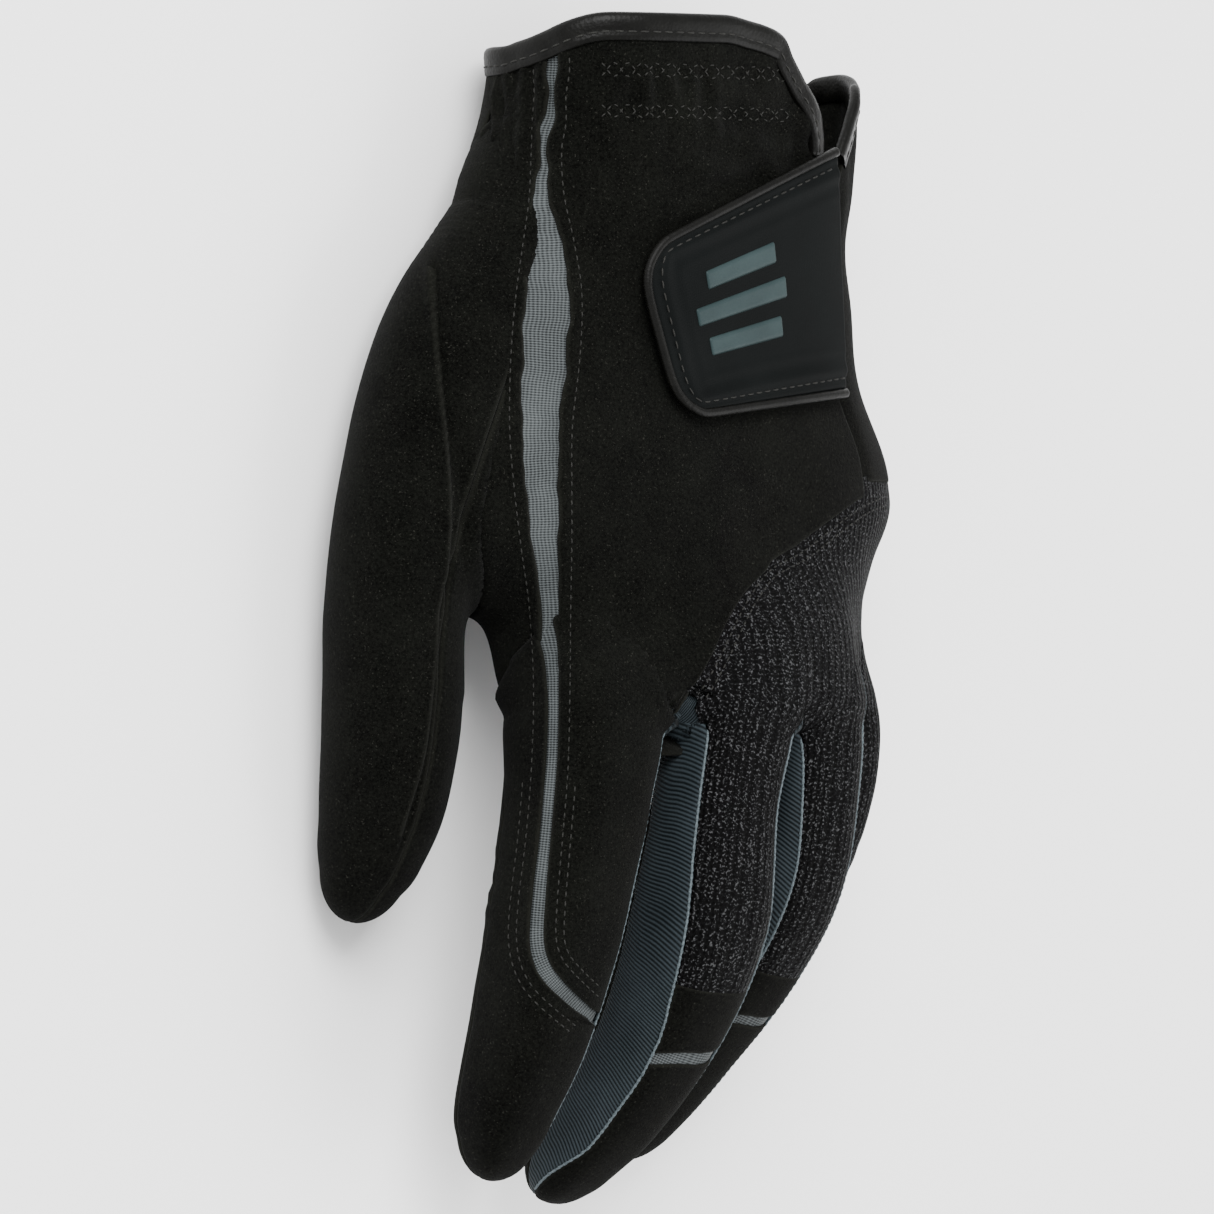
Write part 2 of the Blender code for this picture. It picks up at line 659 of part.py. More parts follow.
def finger(name, looks):
    tube = Tube(FINGERS[name], FINGER_ROUNDNESS)
    pivot = finger_hinge(name, tube)
    joint = tube.length * HINGE_SHARES[name]
    radius = tube.centre(joint)[1]
    straighten, bend = [math.sin(math.radians(abs(limit))) for limit in BEND_RANGES[name]]
    suede, grey, knit = looks["suede"], looks["grey"], looks["knit"]
    cloth, wall, sunk = (0.0, KNIT), (0.0, SUEDE), (0.2, 0.2 + KNIT)
    side_end = tube.length - TIP_SPREAD
    back_length = tube.length - 0.6
    low, high = BACK_ANGLES
    palm_low, palm_high = PALM_ANGLES
    gap = SEAM_ANGLE

    def root(first, last):
        return lambda share: root_along(tube, first + (last - first) * share)

    def beyond(first, last):
        """The moving rim, cut back on the back and the palm by what the bend takes up."""

        def start(share):
            height = oval(first + (last - first) * share, FINGER_ROUNDNESS)[1] + HINGE_DEPTH
            turn = straighten if height > 0 else bend
            return joint + JOINT_GAP + abs(height) * radius * turn

        return start

    def spread(angle, middle, sign):
        """A panel that widens towards the tip until it meets its opposite."""
        target = middle + sign * (90.0 - gap / 2)
        start = side_end + SEAM
        return lambda along: angle + (target - angle) * ease(along, start, start + 8.0)

    def fixed(label, angles, across, insets, look, stop=joint - JOINT_GAP):
        shell(name + label, tube.point, angles, (root(*angles), stop), (across, 5), insets, look)

    def moving(label, angles, alongs, size, insets, look):
        shell(name + label, tube.point, angles, alongs, size, insets, look, pivot)

    under = (high + gap, low + 360.0 - gap)
    if name == "index":
        strip_low, strip_high = INDEX_STRIP_ANGLES
        side = (strip_high + gap, palm_low - gap)
        fixed("_root_back", (low, strip_low - gap), 5, wall, suede)
        fixed("_root_strip", INDEX_STRIP_ANGLES, 1, (0.3, 0.3 + KNIT), grey)
        fixed("_root_panel", (strip_high + gap, under[1]), 10, wall, suede)
        moving(
            "_back_panel", (low, strip_low - gap), (beyond(low, strip_low), side_end),
            (5, 6), wall, suede,
        )
        moving(
            "_stretch_strip", INDEX_STRIP_ANGLES, (beyond(*INDEX_STRIP_ANGLES), side_end),
            (1, 6), (0.3, 0.3 + KNIT), grey,
        )
        moving("_side_panel", side, (beyond(*side), side_end), (2, 6), wall, suede)
        moving(
            "_tip_panel", (spread(low, 90.0, -1), 180.0 - gap / 2), (side_end + SEAM, back_length),
            (7, 6), wall, suede,
        )
    else:
        knit_end = tube.length * KNIT_SHARES[name]
        strip_ends = [tube.length * share for share in STRIP_SHARES[name]]
        radial = (high + gap, palm_low - gap)
        fixed("_mesh_panel", BACK_ANGLES, 4, cloth, knit)
        fixed("_root_panel", under, 10, sunk, grey)
        moving("_mesh_end", BACK_ANGLES, (beyond(low, high), knit_end), (4, 2), cloth, knit)
        tip_start = knit_end
        if name != "little":
            tip_start = strip_ends[1]
            moving(
                "_middle_panel", BACK_ANGLES, (knit_end + SEAM, strip_ends[0] - SEAM),
                (4, 2), wall, suede,
            )
            moving("_knuckle_strip", BACK_ANGLES, strip_ends, (4, 1), (0.3, 0.3 + KNIT), grey)
        moving(
            "_back_tip", (spread(low, 90.0, -1), spread(high, 90.0, 1)),
            (tip_start + SEAM, side_end + SEAM, back_length), (5, (2, 5)), wall, suede,
        )
        moving("_thumb_side_fourchette", radial, (beyond(*radial), side_end), (2, 6), sunk, grey)
    moving(
        "_palm_panel", (spread(palm_low, 270.0, -1), spread(palm_high, 270.0, 1)),
        (beyond(palm_low, palm_high), side_end + SEAM, back_length), (6, (6, 5)), wall, suede,
    )
    ulnar = (palm_high - 360.0 + gap, low - gap)
    moving("_little_side_fourchette", ulnar, (beyond(*ulnar), side_end), (2, 6), sunk, grey)


def thumb(looks):
    tube = Tube(THUMB_TIP)
    pivot = thumb_hinge()
    end = tube.length - 0.6
    for name, angles in (("thumb_back_panel", (46.0, 224.0)), ("thumb_palm_panel", (226.0, 404.0))):
        shell(name, tube.point, angles, (0.0, end), (8, 9), (0.0, SUEDE), looks["suede"], pivot)


def thumb_hinge():
    """The thumb swings about an upright axis just beyond the crotch."""
    x, y, z, _ = THUMB_TIP[0]
    return Vector((x + SHIFT_X - 3.0, y + THUMB_GAP / 2 + SHIFT_Y, z))


def main():
    clear_scene()
    looks = {
        "suede": material("suede", (0.012, 0.012, 0.010), 0.95),
        "knit": material("knit", (0.014, 0.014, 0.015), 0.85),
        "grey": material("grey_stretch", (0.045, 0.062, 0.075), 0.8),
        "binding": material("binding", (0.02, 0.02, 0.018), 0.45),
        "elastic": material("elastic", (0.03, 0.03, 0.03), 0.8),
        "loop": material("loop_pile", (0.02, 0.02, 0.02), 0.95),
        "hook": material("hook_tape", (0.02, 0.02, 0.02), 0.6),
        "rubber": material("tab_rubber", (0.012, 0.014, 0.016), 0.55),
        "grey_rubber": material("emblem", (0.07, 0.11, 0.12), 0.5),
    }
    hand_body(looks)
    closure_tab(looks)
    thumb(looks)
    for name in FINGERS:
        finger(name, looks)


main()
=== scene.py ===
"""The looks of a left-hand golf glove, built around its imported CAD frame.

The glove's surfaces are those of the design: a loft for the hand and a tube for each finger
and for the thumb. Here they flow into each other, and every sewn panel is its own sheet of
fabric with rolled edges, creases and stitches. Shapes are worked out in millimetres of the
design's own frame, and move by SHIFT when a mesh is made.
"""

import math

import bpy
import numpy as np
from mathutils import Matrix, Vector, noise
from mathutils.bvhtree import BVHTree


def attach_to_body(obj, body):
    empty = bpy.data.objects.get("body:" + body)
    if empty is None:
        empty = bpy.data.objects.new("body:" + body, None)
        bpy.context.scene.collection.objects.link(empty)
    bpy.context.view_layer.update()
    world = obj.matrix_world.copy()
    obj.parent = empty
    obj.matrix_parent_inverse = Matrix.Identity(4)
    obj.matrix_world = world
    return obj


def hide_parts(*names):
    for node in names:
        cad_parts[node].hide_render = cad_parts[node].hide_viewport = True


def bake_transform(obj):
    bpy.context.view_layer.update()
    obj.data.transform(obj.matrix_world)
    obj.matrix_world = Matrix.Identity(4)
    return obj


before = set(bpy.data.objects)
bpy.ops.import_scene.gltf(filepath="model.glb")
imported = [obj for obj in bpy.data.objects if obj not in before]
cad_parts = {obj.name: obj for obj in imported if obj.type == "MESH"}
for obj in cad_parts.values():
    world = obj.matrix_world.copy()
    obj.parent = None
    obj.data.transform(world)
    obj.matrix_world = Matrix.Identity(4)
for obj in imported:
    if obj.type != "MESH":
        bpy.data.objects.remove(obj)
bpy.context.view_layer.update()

MM = 0.001
SHIFT = np.array((19.0, 0.25, 0.0))
FULL = 360.0

# The design's surfaces, in millimetres; the index finger is slightly fuller here
ROUNDNESS = 2.6
FINGER_ROUNDNESS = 2.8
HAND_SECTIONS = (
    (119, -2.9, 22.2, 43.5, 23.0), (100, -2.8, 22.0, 44.0, 23.0), (84, -4.0, 21.9, 43.8, 22.8),
    (73, -5.4, 21.4, 44.3, 22.3), (60, -8.0, 21.0, 49.5, 21.8), (44, -9.5, 21.0, 53.5, 21.8),
    (28, -7.6, 22.0, 58.5, 22.6), (11, -8.2, 26.0, 58.5, 20.5), (3, -4.4, 30.0, 54.6, 19.2),
    (-5, -2.7, 34.5, 51.0, 18.0), (-19, -6.0, 41.5, 48.0, 15.0),
)
RIDGE_X = 0.0
ARCH_THUMB_SIDE = 0.0042
ARCH_LITTLE_SIDE = 0.0118
ARCH_FROM, ARCH_TO = 22.0, -16.0
WEB_FROM, WEB_DEPTH = -16.5, 10.5  # the hand closes between the fingers over this depth

THUMB_SEAM_ANGLE = 193.0
PALM_ULNAR_ANGLE = 345.0
CUFF_BACK = (110.0, 117.5)
CUFF_PALM = 111.0
SLIT_BOTTOM = 92.0
SLIT_ANGLES = (57.0, 66.0, 40.0, 84.0)
FLAP_PEAK = 105.0
SIDE_SEAM_Y = 26.8  # the closure side's panel meets the little finger's side here

THUMB = (
    (-34.0, 92, 17.0, 7.0), (-45.0, 84, 17.0, 8.0), (-48.6, 75, 17.2, 10.0),
    (-59.0, 60, 17.4, 12.5), (-66.2, 44, 17.2, 14.0), (-73.6, 20, 17.0, 14.0),
    (-75.0, 0, 15.5, 14.0), (-75.1, -17.4, 15.0, 13.8), (-75.6, -29.0, 14.6, 13.3),
    (-76.6, -40.0, 13.4, 12.3), (-78.0, -48.5, 11.6, 10.6), (-79.0, -54.5, 9.8, 8.9),
)
FINGERS = {
    "index": (
        (-43.2, -20, 36.4, 14.0), (-47.2, -38, 38.5, 13.2), (-52.6, -62, 38.0, 12.4),
        (-56.5, -84, 34.5, 11.0), (-58.4, -98, 30.0, 9.3), (-58.8, -107.0, 27.2, 7.6),
    ),
    "middle": (
        (-9.0, -20, 44.0, 11.2), (-16.0, -38, 46.6, 11.4), (-20.5, -62, 46.0, 12.8),
        (-22.5, -82, 38.5, 11.4), (-27.0, -99.5, 28.6, 9.5), (-32.5, -112.8, 18.6, 7.4),
    ),
    "ring": (
        (15.0, -20, 41.0, 10.3), (13.0, -38, 41.5, 10.8), (11.5, -56, 38.0, 10.8),
        (9.0, -73, 28.6, 10.2), (2.5, -90, 17.8, 9.3), (-5.5, -104.5, 9.6, 8.0),
    ),
    "little": (
        (33.6, -19, 29.0, 9.0), (35.6, -33, 28.0, 9.0), (35.5, -46, 23.5, 8.9),
        (34.5, -59, 16.5, 8.5), (28.0, -71, 10.6, 8.2), (23.0, -79, 8.4, 7.9),
    ),
}
KNIT_SHARES = {"middle": 0.50, "ring": 0.50, "little": 0.53}
CRESCENT_LEAN = 4.0
# A finger's tube starts this far inside the hand, narrower and lower
LEAD, LEAD_SIZE, LEAD_DROP = 20.0, 0.55, 5.0
STRIP_SHARES = {"middle": (0.62, 0.65), "ring": (0.60, 0.63)}

# The tab: its corners across the view and along y, and the three bars on its face
TAB_CORNERS = ((48.4, 43.0), (14.6, 37.6), (5.8, 70.0), (46.4, 92.0))
TAB_ROUND = 0.14
BARS = ((0.30, 0.40, 0.34, 0.74), (0.47, 0.57, 0.30, 0.78), (0.64, 0.74, 0.34, 0.70))

# Directions of the tilted view in which the back's details are laid out
BACKWARD = np.array((-math.sqrt(0.5), 0.0, math.sqrt(0.5)))
ACROSS = np.array((math.sqrt(0.5), 0.0, math.sqrt(0.5)))
VIEW_WIDTH = 0.2428
LENS = 400.0
SENSOR = 36.0
MIDDLE_DEPTH = 0.036  # the glove's middle lies this far towards the camera from the floor point

FABRIC = 0.8  # thickness of a panel
STEP = 1.0  # grid spacing of a panel
EDGE_OFFSETS = (0.0, 0.28, 0.65, 1.15)  # closer lines beside a seam
NARROW, NARROW_STEP = 4.5, 0.5  # a panel narrower than this has even, closer lines
HALVINGS = 26
HIDDEN, TOO_DEEP = -3.0, -3.5  # left out, or left where it is, beyond this depth
SEED_SHIFT = 7.31  # how far apart in the noise two seeds lie
NO_SEAM = 9.0  # stands for a seam too far off to show
END_GAP = 0.05  # a finger's panels stop this far before its tip
UNDER_BINDING = 0.8  # the panels end this far below the cuff's rim
RIM_Y = 112.0  # the strip's edges are read here to place the rim
PANEL_BOTTOM = WEB_FROM - WEB_DEPTH + 0.25  # the hand's panels end between the fingers
GATHER_Y = 103.0  # the elastic gathers the cuff here
GATHER_SCALE = (3.6, 24, 3.6)


# ---------------- numbers and curves


def ease(value, start, end):
    t = np.clip((np.asarray(value, float) - start) / (end - start), 0.0, 1.0)
    return t * t * (3 - 2 * t)


def smooth_table(rows, count):
    """Reads rows of numbers, keyed by their first, along a smooth curve at even steps."""
    rows = np.array(sorted(rows), float)
    keys = rows[:, 0]
    slopes = np.empty_like(rows)
    for i in range(len(rows)):
        before, after = max(i - 1, 0), min(i + 1, len(rows) - 1)
        slopes[i] = (rows[after] - rows[before]) / (keys[after] - keys[before])
    at = np.linspace(keys[0], keys[-1], count)
    i = np.clip(np.searchsorted(keys, at, side="right") - 1, 0, len(keys) - 2)
    width = (keys[i + 1] - keys[i])[:, None]
    t = ((at - keys[i])[:, None]) / width
    return (
        (2 * t**3 - 3 * t**2 + 1) * rows[i]
        + (t**3 - 2 * t**2 + t) * width * slopes[i]
        + (3 * t**2 - 2 * t**3) * rows[i + 1]
        + (t**3 - t**2) * width * slopes[i + 1]
    )


def smooth_line(points, spacing=0.6):
    """A smooth curve through given points, read at even steps."""
    rows = [(i, *p) for i, p in enumerate(points)]
    line = smooth_table(rows, 60 * len(points))[:, 1:]
    return resampled(line, spacing)


def unit(vectors):
    return vectors / np.linalg.norm(vectors, axis=-1, keepdims=True)


def directions(line):
    return unit(np.gradient(line, axis=0))


def sideways(line):
    """Directions square to a line of the view, to its right as seen along it."""
    way = directions(line[:, :2])
    return np.stack([way[:, 1], -way[:, 0]], axis=1)


def reach_along(line):
    """The distance of each point from the line's start."""
    return np.concatenate([[0], np.cumsum(np.linalg.norm(np.diff(line, axis=0), axis=1))])


def bisected(right_of, shape, low, high):
    """The angle, going up from low to high, at which places stop lying right of a limit."""
    low, high = np.full(shape, low), np.full(shape, high)
    for _ in range(HALVINGS):
        middle = (low + high) / 2
        right = right_of(middle)
        low, high = np.where(right, middle, low), np.where(right, high, middle)
    return (low + high) / 2


def resampled(line, spacing):
    lengths = reach_along(line)
    count = max(int(round(lengths[-1] / spacing)), 1) + 1
    at = np.linspace(0, lengths[-1], count)
    return np.stack([np.interp(at, lengths, column) for column in line.T], axis=1)


def wander(points, scale, seed):
    """Smooth noise from -1 to 1 at each point; scale is a length or one for each axis."""
    spots = np.asarray(points, float) / np.asarray(scale, float) + seed * SEED_SHIFT
    values = [noise.noise(Vector(p)) for p in spots.reshape(-1, 3)]
    return np.array(values).reshape(spots.shape[:-1])


def bump_at(distance, width):
    return np.exp(-((distance / width) ** 2))


# ---------------- surfaces


HAND_TABLE = smooth_table(HAND_SECTIONS, 800)


def section(y):
    y = np.clip(y, HAND_TABLE[0, 0], HAND_TABLE[-1, 0])
    return [np.interp(y, HAND_TABLE[:, 0], HAND_TABLE[:, k]) for k in range(1, 5)]


def arch(x, y):
    fall = np.where(x > RIDGE_X, ARCH_LITTLE_SIDE, ARCH_THUMB_SIDE)
    return fall * (x - RIDGE_X) ** 2 * ease(y, ARCH_FROM, ARCH_TO)


def closing(y):
    """How much of its width the hand keeps between the fingers."""
    t = np.clip((WEB_FROM - y) / WEB_DEPTH, 0.0, 0.995)
    return np.sqrt(1 - t * t)


def oval(angle, roundness):
    c, s = np.cos(np.radians(angle)), np.sin(np.radians(angle))
    power = 2.0 / roundness
    return np.sign(c) * np.abs(c) ** power, np.sign(s) * np.abs(s) ** power


def hand_point(angle, y, lift=0.0):
    xc, zc, a, b = section(y)
    ox, oz = oval(angle, ROUNDNESS)
    keep = closing(y)
    x = xc + (a * keep + lift) * ox
    z = zc + (b * keep + lift) * oz - arch(x, y)
    return np.stack(np.broadcast_arrays(x, y, np.maximum(z, 0.2 - lift)), axis=-1)


def hand_distance(p):
    x, y, z = p[..., 0], p[..., 1], p[..., 2]
    xc, zc, a, b = section(y)
    keep = closing(y)
    a, b = a * keep, b * keep
    u, v = np.abs(x - xc) / a, np.abs(z + arch(x, y) - zc) / b
    n = ROUNDNESS
    f = np.maximum((u**n + v**n) ** (1 / n), 1e-4)
    slope = np.hypot((u / f) ** (n - 1) / a, (v / f) ** (n - 1) / b)
    beyond = np.maximum(WEB_FROM - WEB_DEPTH - y, 0.0)
    return (f - 1) / np.maximum(slope, 1e-4) + beyond


class Tube:
    """A curved tube with a round end, read by angle and by distance from its start."""

    def __init__(self, rows, roundness, lead=0.0):
        rows = [np.array(row, float) for row in rows]
        if lead:
            back = rows[0][:3] - rows[1][:3]
            start = rows[0].copy()
            start[:3] += back / np.linalg.norm(back) * lead
            start[2:] = start[2] - LEAD_DROP, start[3] * LEAD_SIZE
            rows = [start] + rows
        table = smooth_table([(i, *row) for i, row in enumerate(rows)], 240)[:, 1:]
        self.reach = reach_along(table[:, :3])
        self.table = table
        self.roundness = roundness
        self.lead = lead
        self.tip = rows[-1][3]
        self.length = self.reach[-1] + self.tip * 0.92
        self.end_way = table[-1, :3] - table[-4, :3]
        self.end_way /= np.linalg.norm(self.end_way)

    def at(self, share):
        """The place along the tube at this share of what shows outside the hand."""
        return self.lead + (self.length - self.lead) * share

    def share(self, along):
        return (along - self.lead) / (self.length - self.lead)

    def centre(self, along):
        c = np.stack([np.interp(along, self.reach, self.table[:, k]) for k in range(4)], -1)
        beyond = np.maximum(along - self.reach[-1], 0.0)
        return c[..., :3] + beyond[..., None] * self.end_way, c[..., 3]

    def axes(self, along):
        ahead = self.centre(along + 1.0)[0] - self.centre(along - 1.0)[0]
        forward = unit(ahead)
        side = unit(np.array((1.0, 0.0, 0.0)) - forward * forward[..., :1])
        up = np.cross(side, forward)
        up *= np.where(up[..., 2:] < 0, -1.0, 1.0)
        return forward, side, up

    def point(self, angle, along, lift=0.0):
        end = self.length + lift
        along = along * end / self.length
        here, radius = self.centre(along)
        _, side, up = self.axes(along)
        cap = self.tip * 1.5
        left = np.clip(end - along, 0.02, cap)
        narrow = np.sqrt(1 - (1 - left / cap) ** 2)
        r = np.maximum((radius + lift) * narrow, 0.1)
        ox, oz = oval(angle, self.roundness)
        p = here + side * (r * ox)[..., None] + up * (r * oz)[..., None]
        p[..., 2] = np.maximum(p[..., 2], 0.2 - lift)
        return p

    def distance(self, p):
        flat = p.reshape(-1, 3)
        found = np.empty(len(flat))
        core = self.table[::2, :3]
        along = self.reach[::2]
        for start in range(0, len(flat), 20000):
            part = flat[start : start + 20000]
            near = np.argmin(((part[:, None, :] - core) ** 2).sum(-1), axis=1)
            at = along[near]
            forward, side, up = self.axes(at)
            here, radius = self.centre(at)
            away = part - here
            n = self.roundness
            x, z = np.abs((away * side).sum(-1)), np.abs((away * up).sum(-1))
            d = (x**n + z**n) ** (1 / n) - radius
            s = (away * forward).sum(-1)
            open_end = (near == 0) & (s < 0)
            found[start : start + 20000] = np.where(open_end, np.hypot(np.maximum(d, 0), s), d)
        return found.reshape(p.shape[:-1])


TUBES = {name: Tube(rows, FINGER_ROUNDNESS, LEAD) for name, rows in FINGERS.items()}
TUBES["thumb"] = Tube(THUMB, 2.0)
FILLETS = {"index": 9.0, "middle": 8.0, "ring": 8.0, "little": 8.0, "thumb": 14.0}


def soft_min(a, b, k):
    h = np.clip(0.5 + 0.5 * (b - a) / k, 0, 1)
    return b + (a - b) * h - k * h * (1 - h)


def distance_from(name, p):
    return hand_distance(p) if name == "hand" else TUBES[name].distance(p)


def flow_together(p, normals, own):
    """Moves a surface's points onto the smooth union; says which are hidden inside it."""
    points, ways = p.reshape(-1, 3).copy(), normals.reshape(-1, 3)
    hidden = np.zeros(len(points), bool)
    for other in FILLETS if own == "hand" else ["hand"]:
        k = FILLETS[other if own == "hand" else own]
        gap = distance_from(other, points)
        hidden |= gap < HIDDEN
        near = np.nonzero((gap < k) & (gap > TOO_DEEP))[0]
        if not len(near):
            continue
        moved, way = points[near].copy(), ways[near]
        for _ in range(7):
            step = -soft_min(distance_from(own, moved), distance_from(other, moved), k)
            moved += way * np.clip(step, -1.5, 1.5)[:, None] * 0.8
        behind = distance_from(own, moved) - distance_from(other, moved)
        sunk = 0.7 * ease(behind, 0.0, 1.6) + 2.6 * ease(behind, 1.0, 3.4)
        points[near] = moved - way * sunk[:, None]
    return points.reshape(p.shape), hidden.reshape(p.shape[:-1])


# ---------------- limits of the panels


def across_view(p):
    return p[..., 0] * ACROSS[0] + p[..., 2] * ACROSS[2]


def angle_across(across, y, lift=0.0):
    """The angle around the hand's back that lies at this place in the tilted view."""
    across, y = np.broadcast_arrays(np.asarray(across, float), np.asarray(y, float))

    def right_of(angle):
        return across_view(hand_point(angle, y, lift)) > across

    return bisected(right_of, across.shape, 30.0, 215.0)


def cuff_rim(share):
    share = np.clip(share, 0, 1)
    corner = 4.0 * np.maximum(0.0, 1.0 - share / 0.12) ** 2
    return CUFF_BACK[1] + (CUFF_BACK[0] - CUFF_BACK[1]) * ease(share, 0.5, 1.08) - corner


def slit_back_side(y):
    return SLIT_ANGLES[1] + (SLIT_ANGLES[3] - SLIT_ANGLES[1]) * ease(y, SLIT_BOTTOM, CUFF_BACK[1])


def slit_flap_side(y):
    t = np.clip((y - SLIT_BOTTOM) / (FLAP_PEAK - SLIT_BOTTOM), 0, 1)
    return SLIT_ANGLES[0] + (SLIT_ANGLES[2] - SLIT_ANGLES[0]) * t


def rim_on_back(angle):
    return cuff_rim((angle - SLIT_ANGLES[3]) / (THUMB_SEAM_ANGLE - SLIT_ANGLES[3]))


def side_top(share):
    return FLAP_PEAK + 2.5 * np.sin(math.pi * np.minimum(share * 1.2, 1.0))


# The stretch strip's centre line and half width in the tilted view: across, y, half width
STRIP = (
    (-11.2, 113.0, 0.9), (-11.0, 106.5, 1.1), (-11.3, 102.0, 0.6), (-11.5, 96.0, 0.9),
    (-12.0, 91.5, 0.5), (-12.0, 82.0, 0.9), (-11.6, 72.0, 2.6), (-11.5, 62.0, 4.0),
    (-12.2, 50.0, 4.3), (-13.1, 36.0, 3.7), (-12.7, 24.0, 3.2), (-12.0, 12.0, 2.5),
    (-11.3, 0.0, 1.6), (-10.9, -16.0, 1.1), (-11.3, -32.0, 1.1), (-12.4, -46.0, 1.1),
    (-13.6, -58.0, 1.3), (-13.9, -66.0, 1.4), (-12.2, -71.5, 1.5), (-8.2, -76.0, 1.3),
    (-3.2, -80.5, 1.1), (2.0, -85.0, 1.0),
)
STRIP_SUNK = -0.75  # its surface lies this far below the suede on both sides
STRIP_END = -80.5  # beyond this y the strip has gone round the index finger's side
STRIP_LINE = smooth_line(STRIP)

# Where the suede back gives way to the knit, in the tilted view: across, y
KNIT_EDGE = (
    (62.0, 26.0), (55.5, 23.6), (50.6, 21.4), (44.0, 16.6), (38.6, 12.4), (31.8, 8.6), (27.6, 3.4),
    (25.0, -1.2), (21.2, -9.2), (18.2, -14.6), (16.0, -17.6), (14.4, -21.5), (12.4, -27.0),
)
# The first fourchette's point, which runs up between the suede and the knit: y, left, right
CROTCH_POINT = ((-27.0, 10.5, 18.8), (-22.0, 13.2, 18.0), (-17.2, 15.4, 16.6), (-15.0, 16.5, 16.7))


def strip_edge(side, spread=0.0):
    """One edge of the strip as rows of y and across; side is 1 towards the little finger."""
    y = STRIP_LINE[:, 1]
    ripple = np.sin(0.93 * y + 2 * side) * np.sin(0.31 * y) + np.sin(0.47 * y - side)
    half = STRIP_LINE[:, 2] + 0.2 * ripple * ease(y, -10, 30) + spread
    edge = STRIP_LINE[:, :2] - sideways(STRIP_LINE) * side * half[:, None]
    far = edge[-1:] + np.array([(60.0, -30.0)])
    edge = np.concatenate([edge, far])[:, ::-1]
    return edge[np.argsort(edge[:, 0])]


def strip_on_hand(side, spread=0.0):
    edge = strip_edge(side, spread)
    return lambda y: angle_across(np.interp(y, edge[:, 0], edge[:, 1]), y)


def strip_on_index(side, spread=0.0):
    """The angle around the index finger at which the strip's edge lies."""
    edge, tube = strip_edge(side, spread), TUBES["index"]

    def angle(along):
        along = np.asarray(along, float)

        def right_of(trial):
            p = tube.point(trial, along)
            return across_view(p) > np.interp(p[..., 1], edge[:, 0], edge[:, 1])

        found = bisected(right_of, along.shape, 20.0, 215.0)
        return np.maximum(found, ulnar_high(tube.share(along)))

    return angle


def knit_edge(across):
    rows = np.array(sorted(KNIT_EDGE))
    return np.interp(across, rows[:, 0], rows[:, 1], left=WEB_FROM - WEB_DEPTH + 0.2)


def above_knit(angle):
    """The y at which the suede ends, at each angle around the hand's back."""
    y = np.full(np.shape(angle), 5.0)
    for _ in range(40):
        y = 0.6 * y + 0.4 * knit_edge(across_view(hand_point(angle, y)))
    return y


# ---------------- sheets of fabric


def spaced_shares(length, step):
    edge = [d / length for d in EDGE_OFFSETS]
    if length < NARROW:
        return np.linspace(0, 1, max(int(round(length / NARROW_STEP)), 2) + 1)
    count = max(int(round((1 - 2 * edge[-1]) * length / step)), 1)
    middle = np.linspace(edge[-1], 1 - edge[-1], count + 1)[1:-1]
    return np.concatenate([edge, middle, [1 - e for e in reversed(edge)]])


def read(limit, at):
    return limit(at) if callable(limit) else np.full(np.shape(at), float(limit))


class Sheet:
    """One panel: a grid of points with their normals, edge distances and weave places."""

    def __init__(self, surface, angles, alongs, own, lift=0.0, step=STEP):
        trial = np.linspace(0, 1, 9)
        wide, tall = self.size(surface, angles, alongs, trial)
        shares, downs = spaced_shares(wide, step), spaced_shares(tall, step)
        s, t = np.meshgrid(shares, downs, indexing="ij")
        start, end = read(alongs[0], s), read(alongs[1], s)
        along = start + (end - start) * t
        first, last = read(angles[0], along), read(angles[1], along)
        angle = first + (last - first) * s
        self.angle, self.along = angle, along
        self.p = surface(angle, along, 0.0)
        outward = surface(angle, along, 1.0) - self.p
        self.n = grid_normals(self.p, outward)
        self.measure()
        self.hidden = np.zeros(self.p.shape[:2], bool)
        self.seam = np.full(self.p.shape[:2], NO_SEAM)  # distance from a seam inside the panel
        if own:
            self.p, self.hidden = flow_together(self.p, self.n, own)
        self.n = grid_normals(self.p, outward)
        self.p = self.p + self.n * lift

    @staticmethod
    def size(surface, angles, alongs, trial):
        s, t = np.meshgrid(trial, trial, indexing="ij")
        along = read(alongs[0], s) + (read(alongs[1], s) - read(alongs[0], s)) * t
        angle = read(angles[0], along)
        angle = angle + (read(angles[1], along) - angle) * s
        p = surface(angle, along, 0.0)
        wide = np.linalg.norm(np.diff(p, axis=0), axis=-1).sum(0).mean()
        tall = np.linalg.norm(np.diff(p, axis=1), axis=-1).sum(1).mean()
        return wide, tall

    def measure(self):
        """Distances in millimetres from the four edges, and the weave's own places."""
        u = np.linalg.norm(np.diff(self.p, axis=0), axis=-1)
        v = np.linalg.norm(np.diff(self.p, axis=1), axis=-1)
        self.u = np.concatenate([np.zeros((1, u.shape[1])), np.cumsum(u, axis=0)])
        self.v = np.concatenate([np.zeros((v.shape[0], 1)), np.cumsum(v, axis=1)], axis=1)
        self.edges = [self.u, self.u[-1:] - self.u, self.v, self.v[:, -1:] - self.v]
        self.weave_u, self.weave_v = self.u - self.u[-1:] / 2, self.v

    def raised(self, height):
        self.p = self.p + self.n * height[..., None]
        return self

    def roll(self, sides, drop=0.55, radius=0.9):
        """Turns the listed edges down, as a folded and sewn edge lies."""
        for side in sides:
            d = np.clip(self.edges[side] / radius, 0, 1)
            self.raised(-drop * (1 - np.sqrt(1 - (1 - d) ** 2)))
        return self

    def edge_distance(self, sides):
        return np.min([self.edges[side] for side in sides] + [self.seam], axis=0)


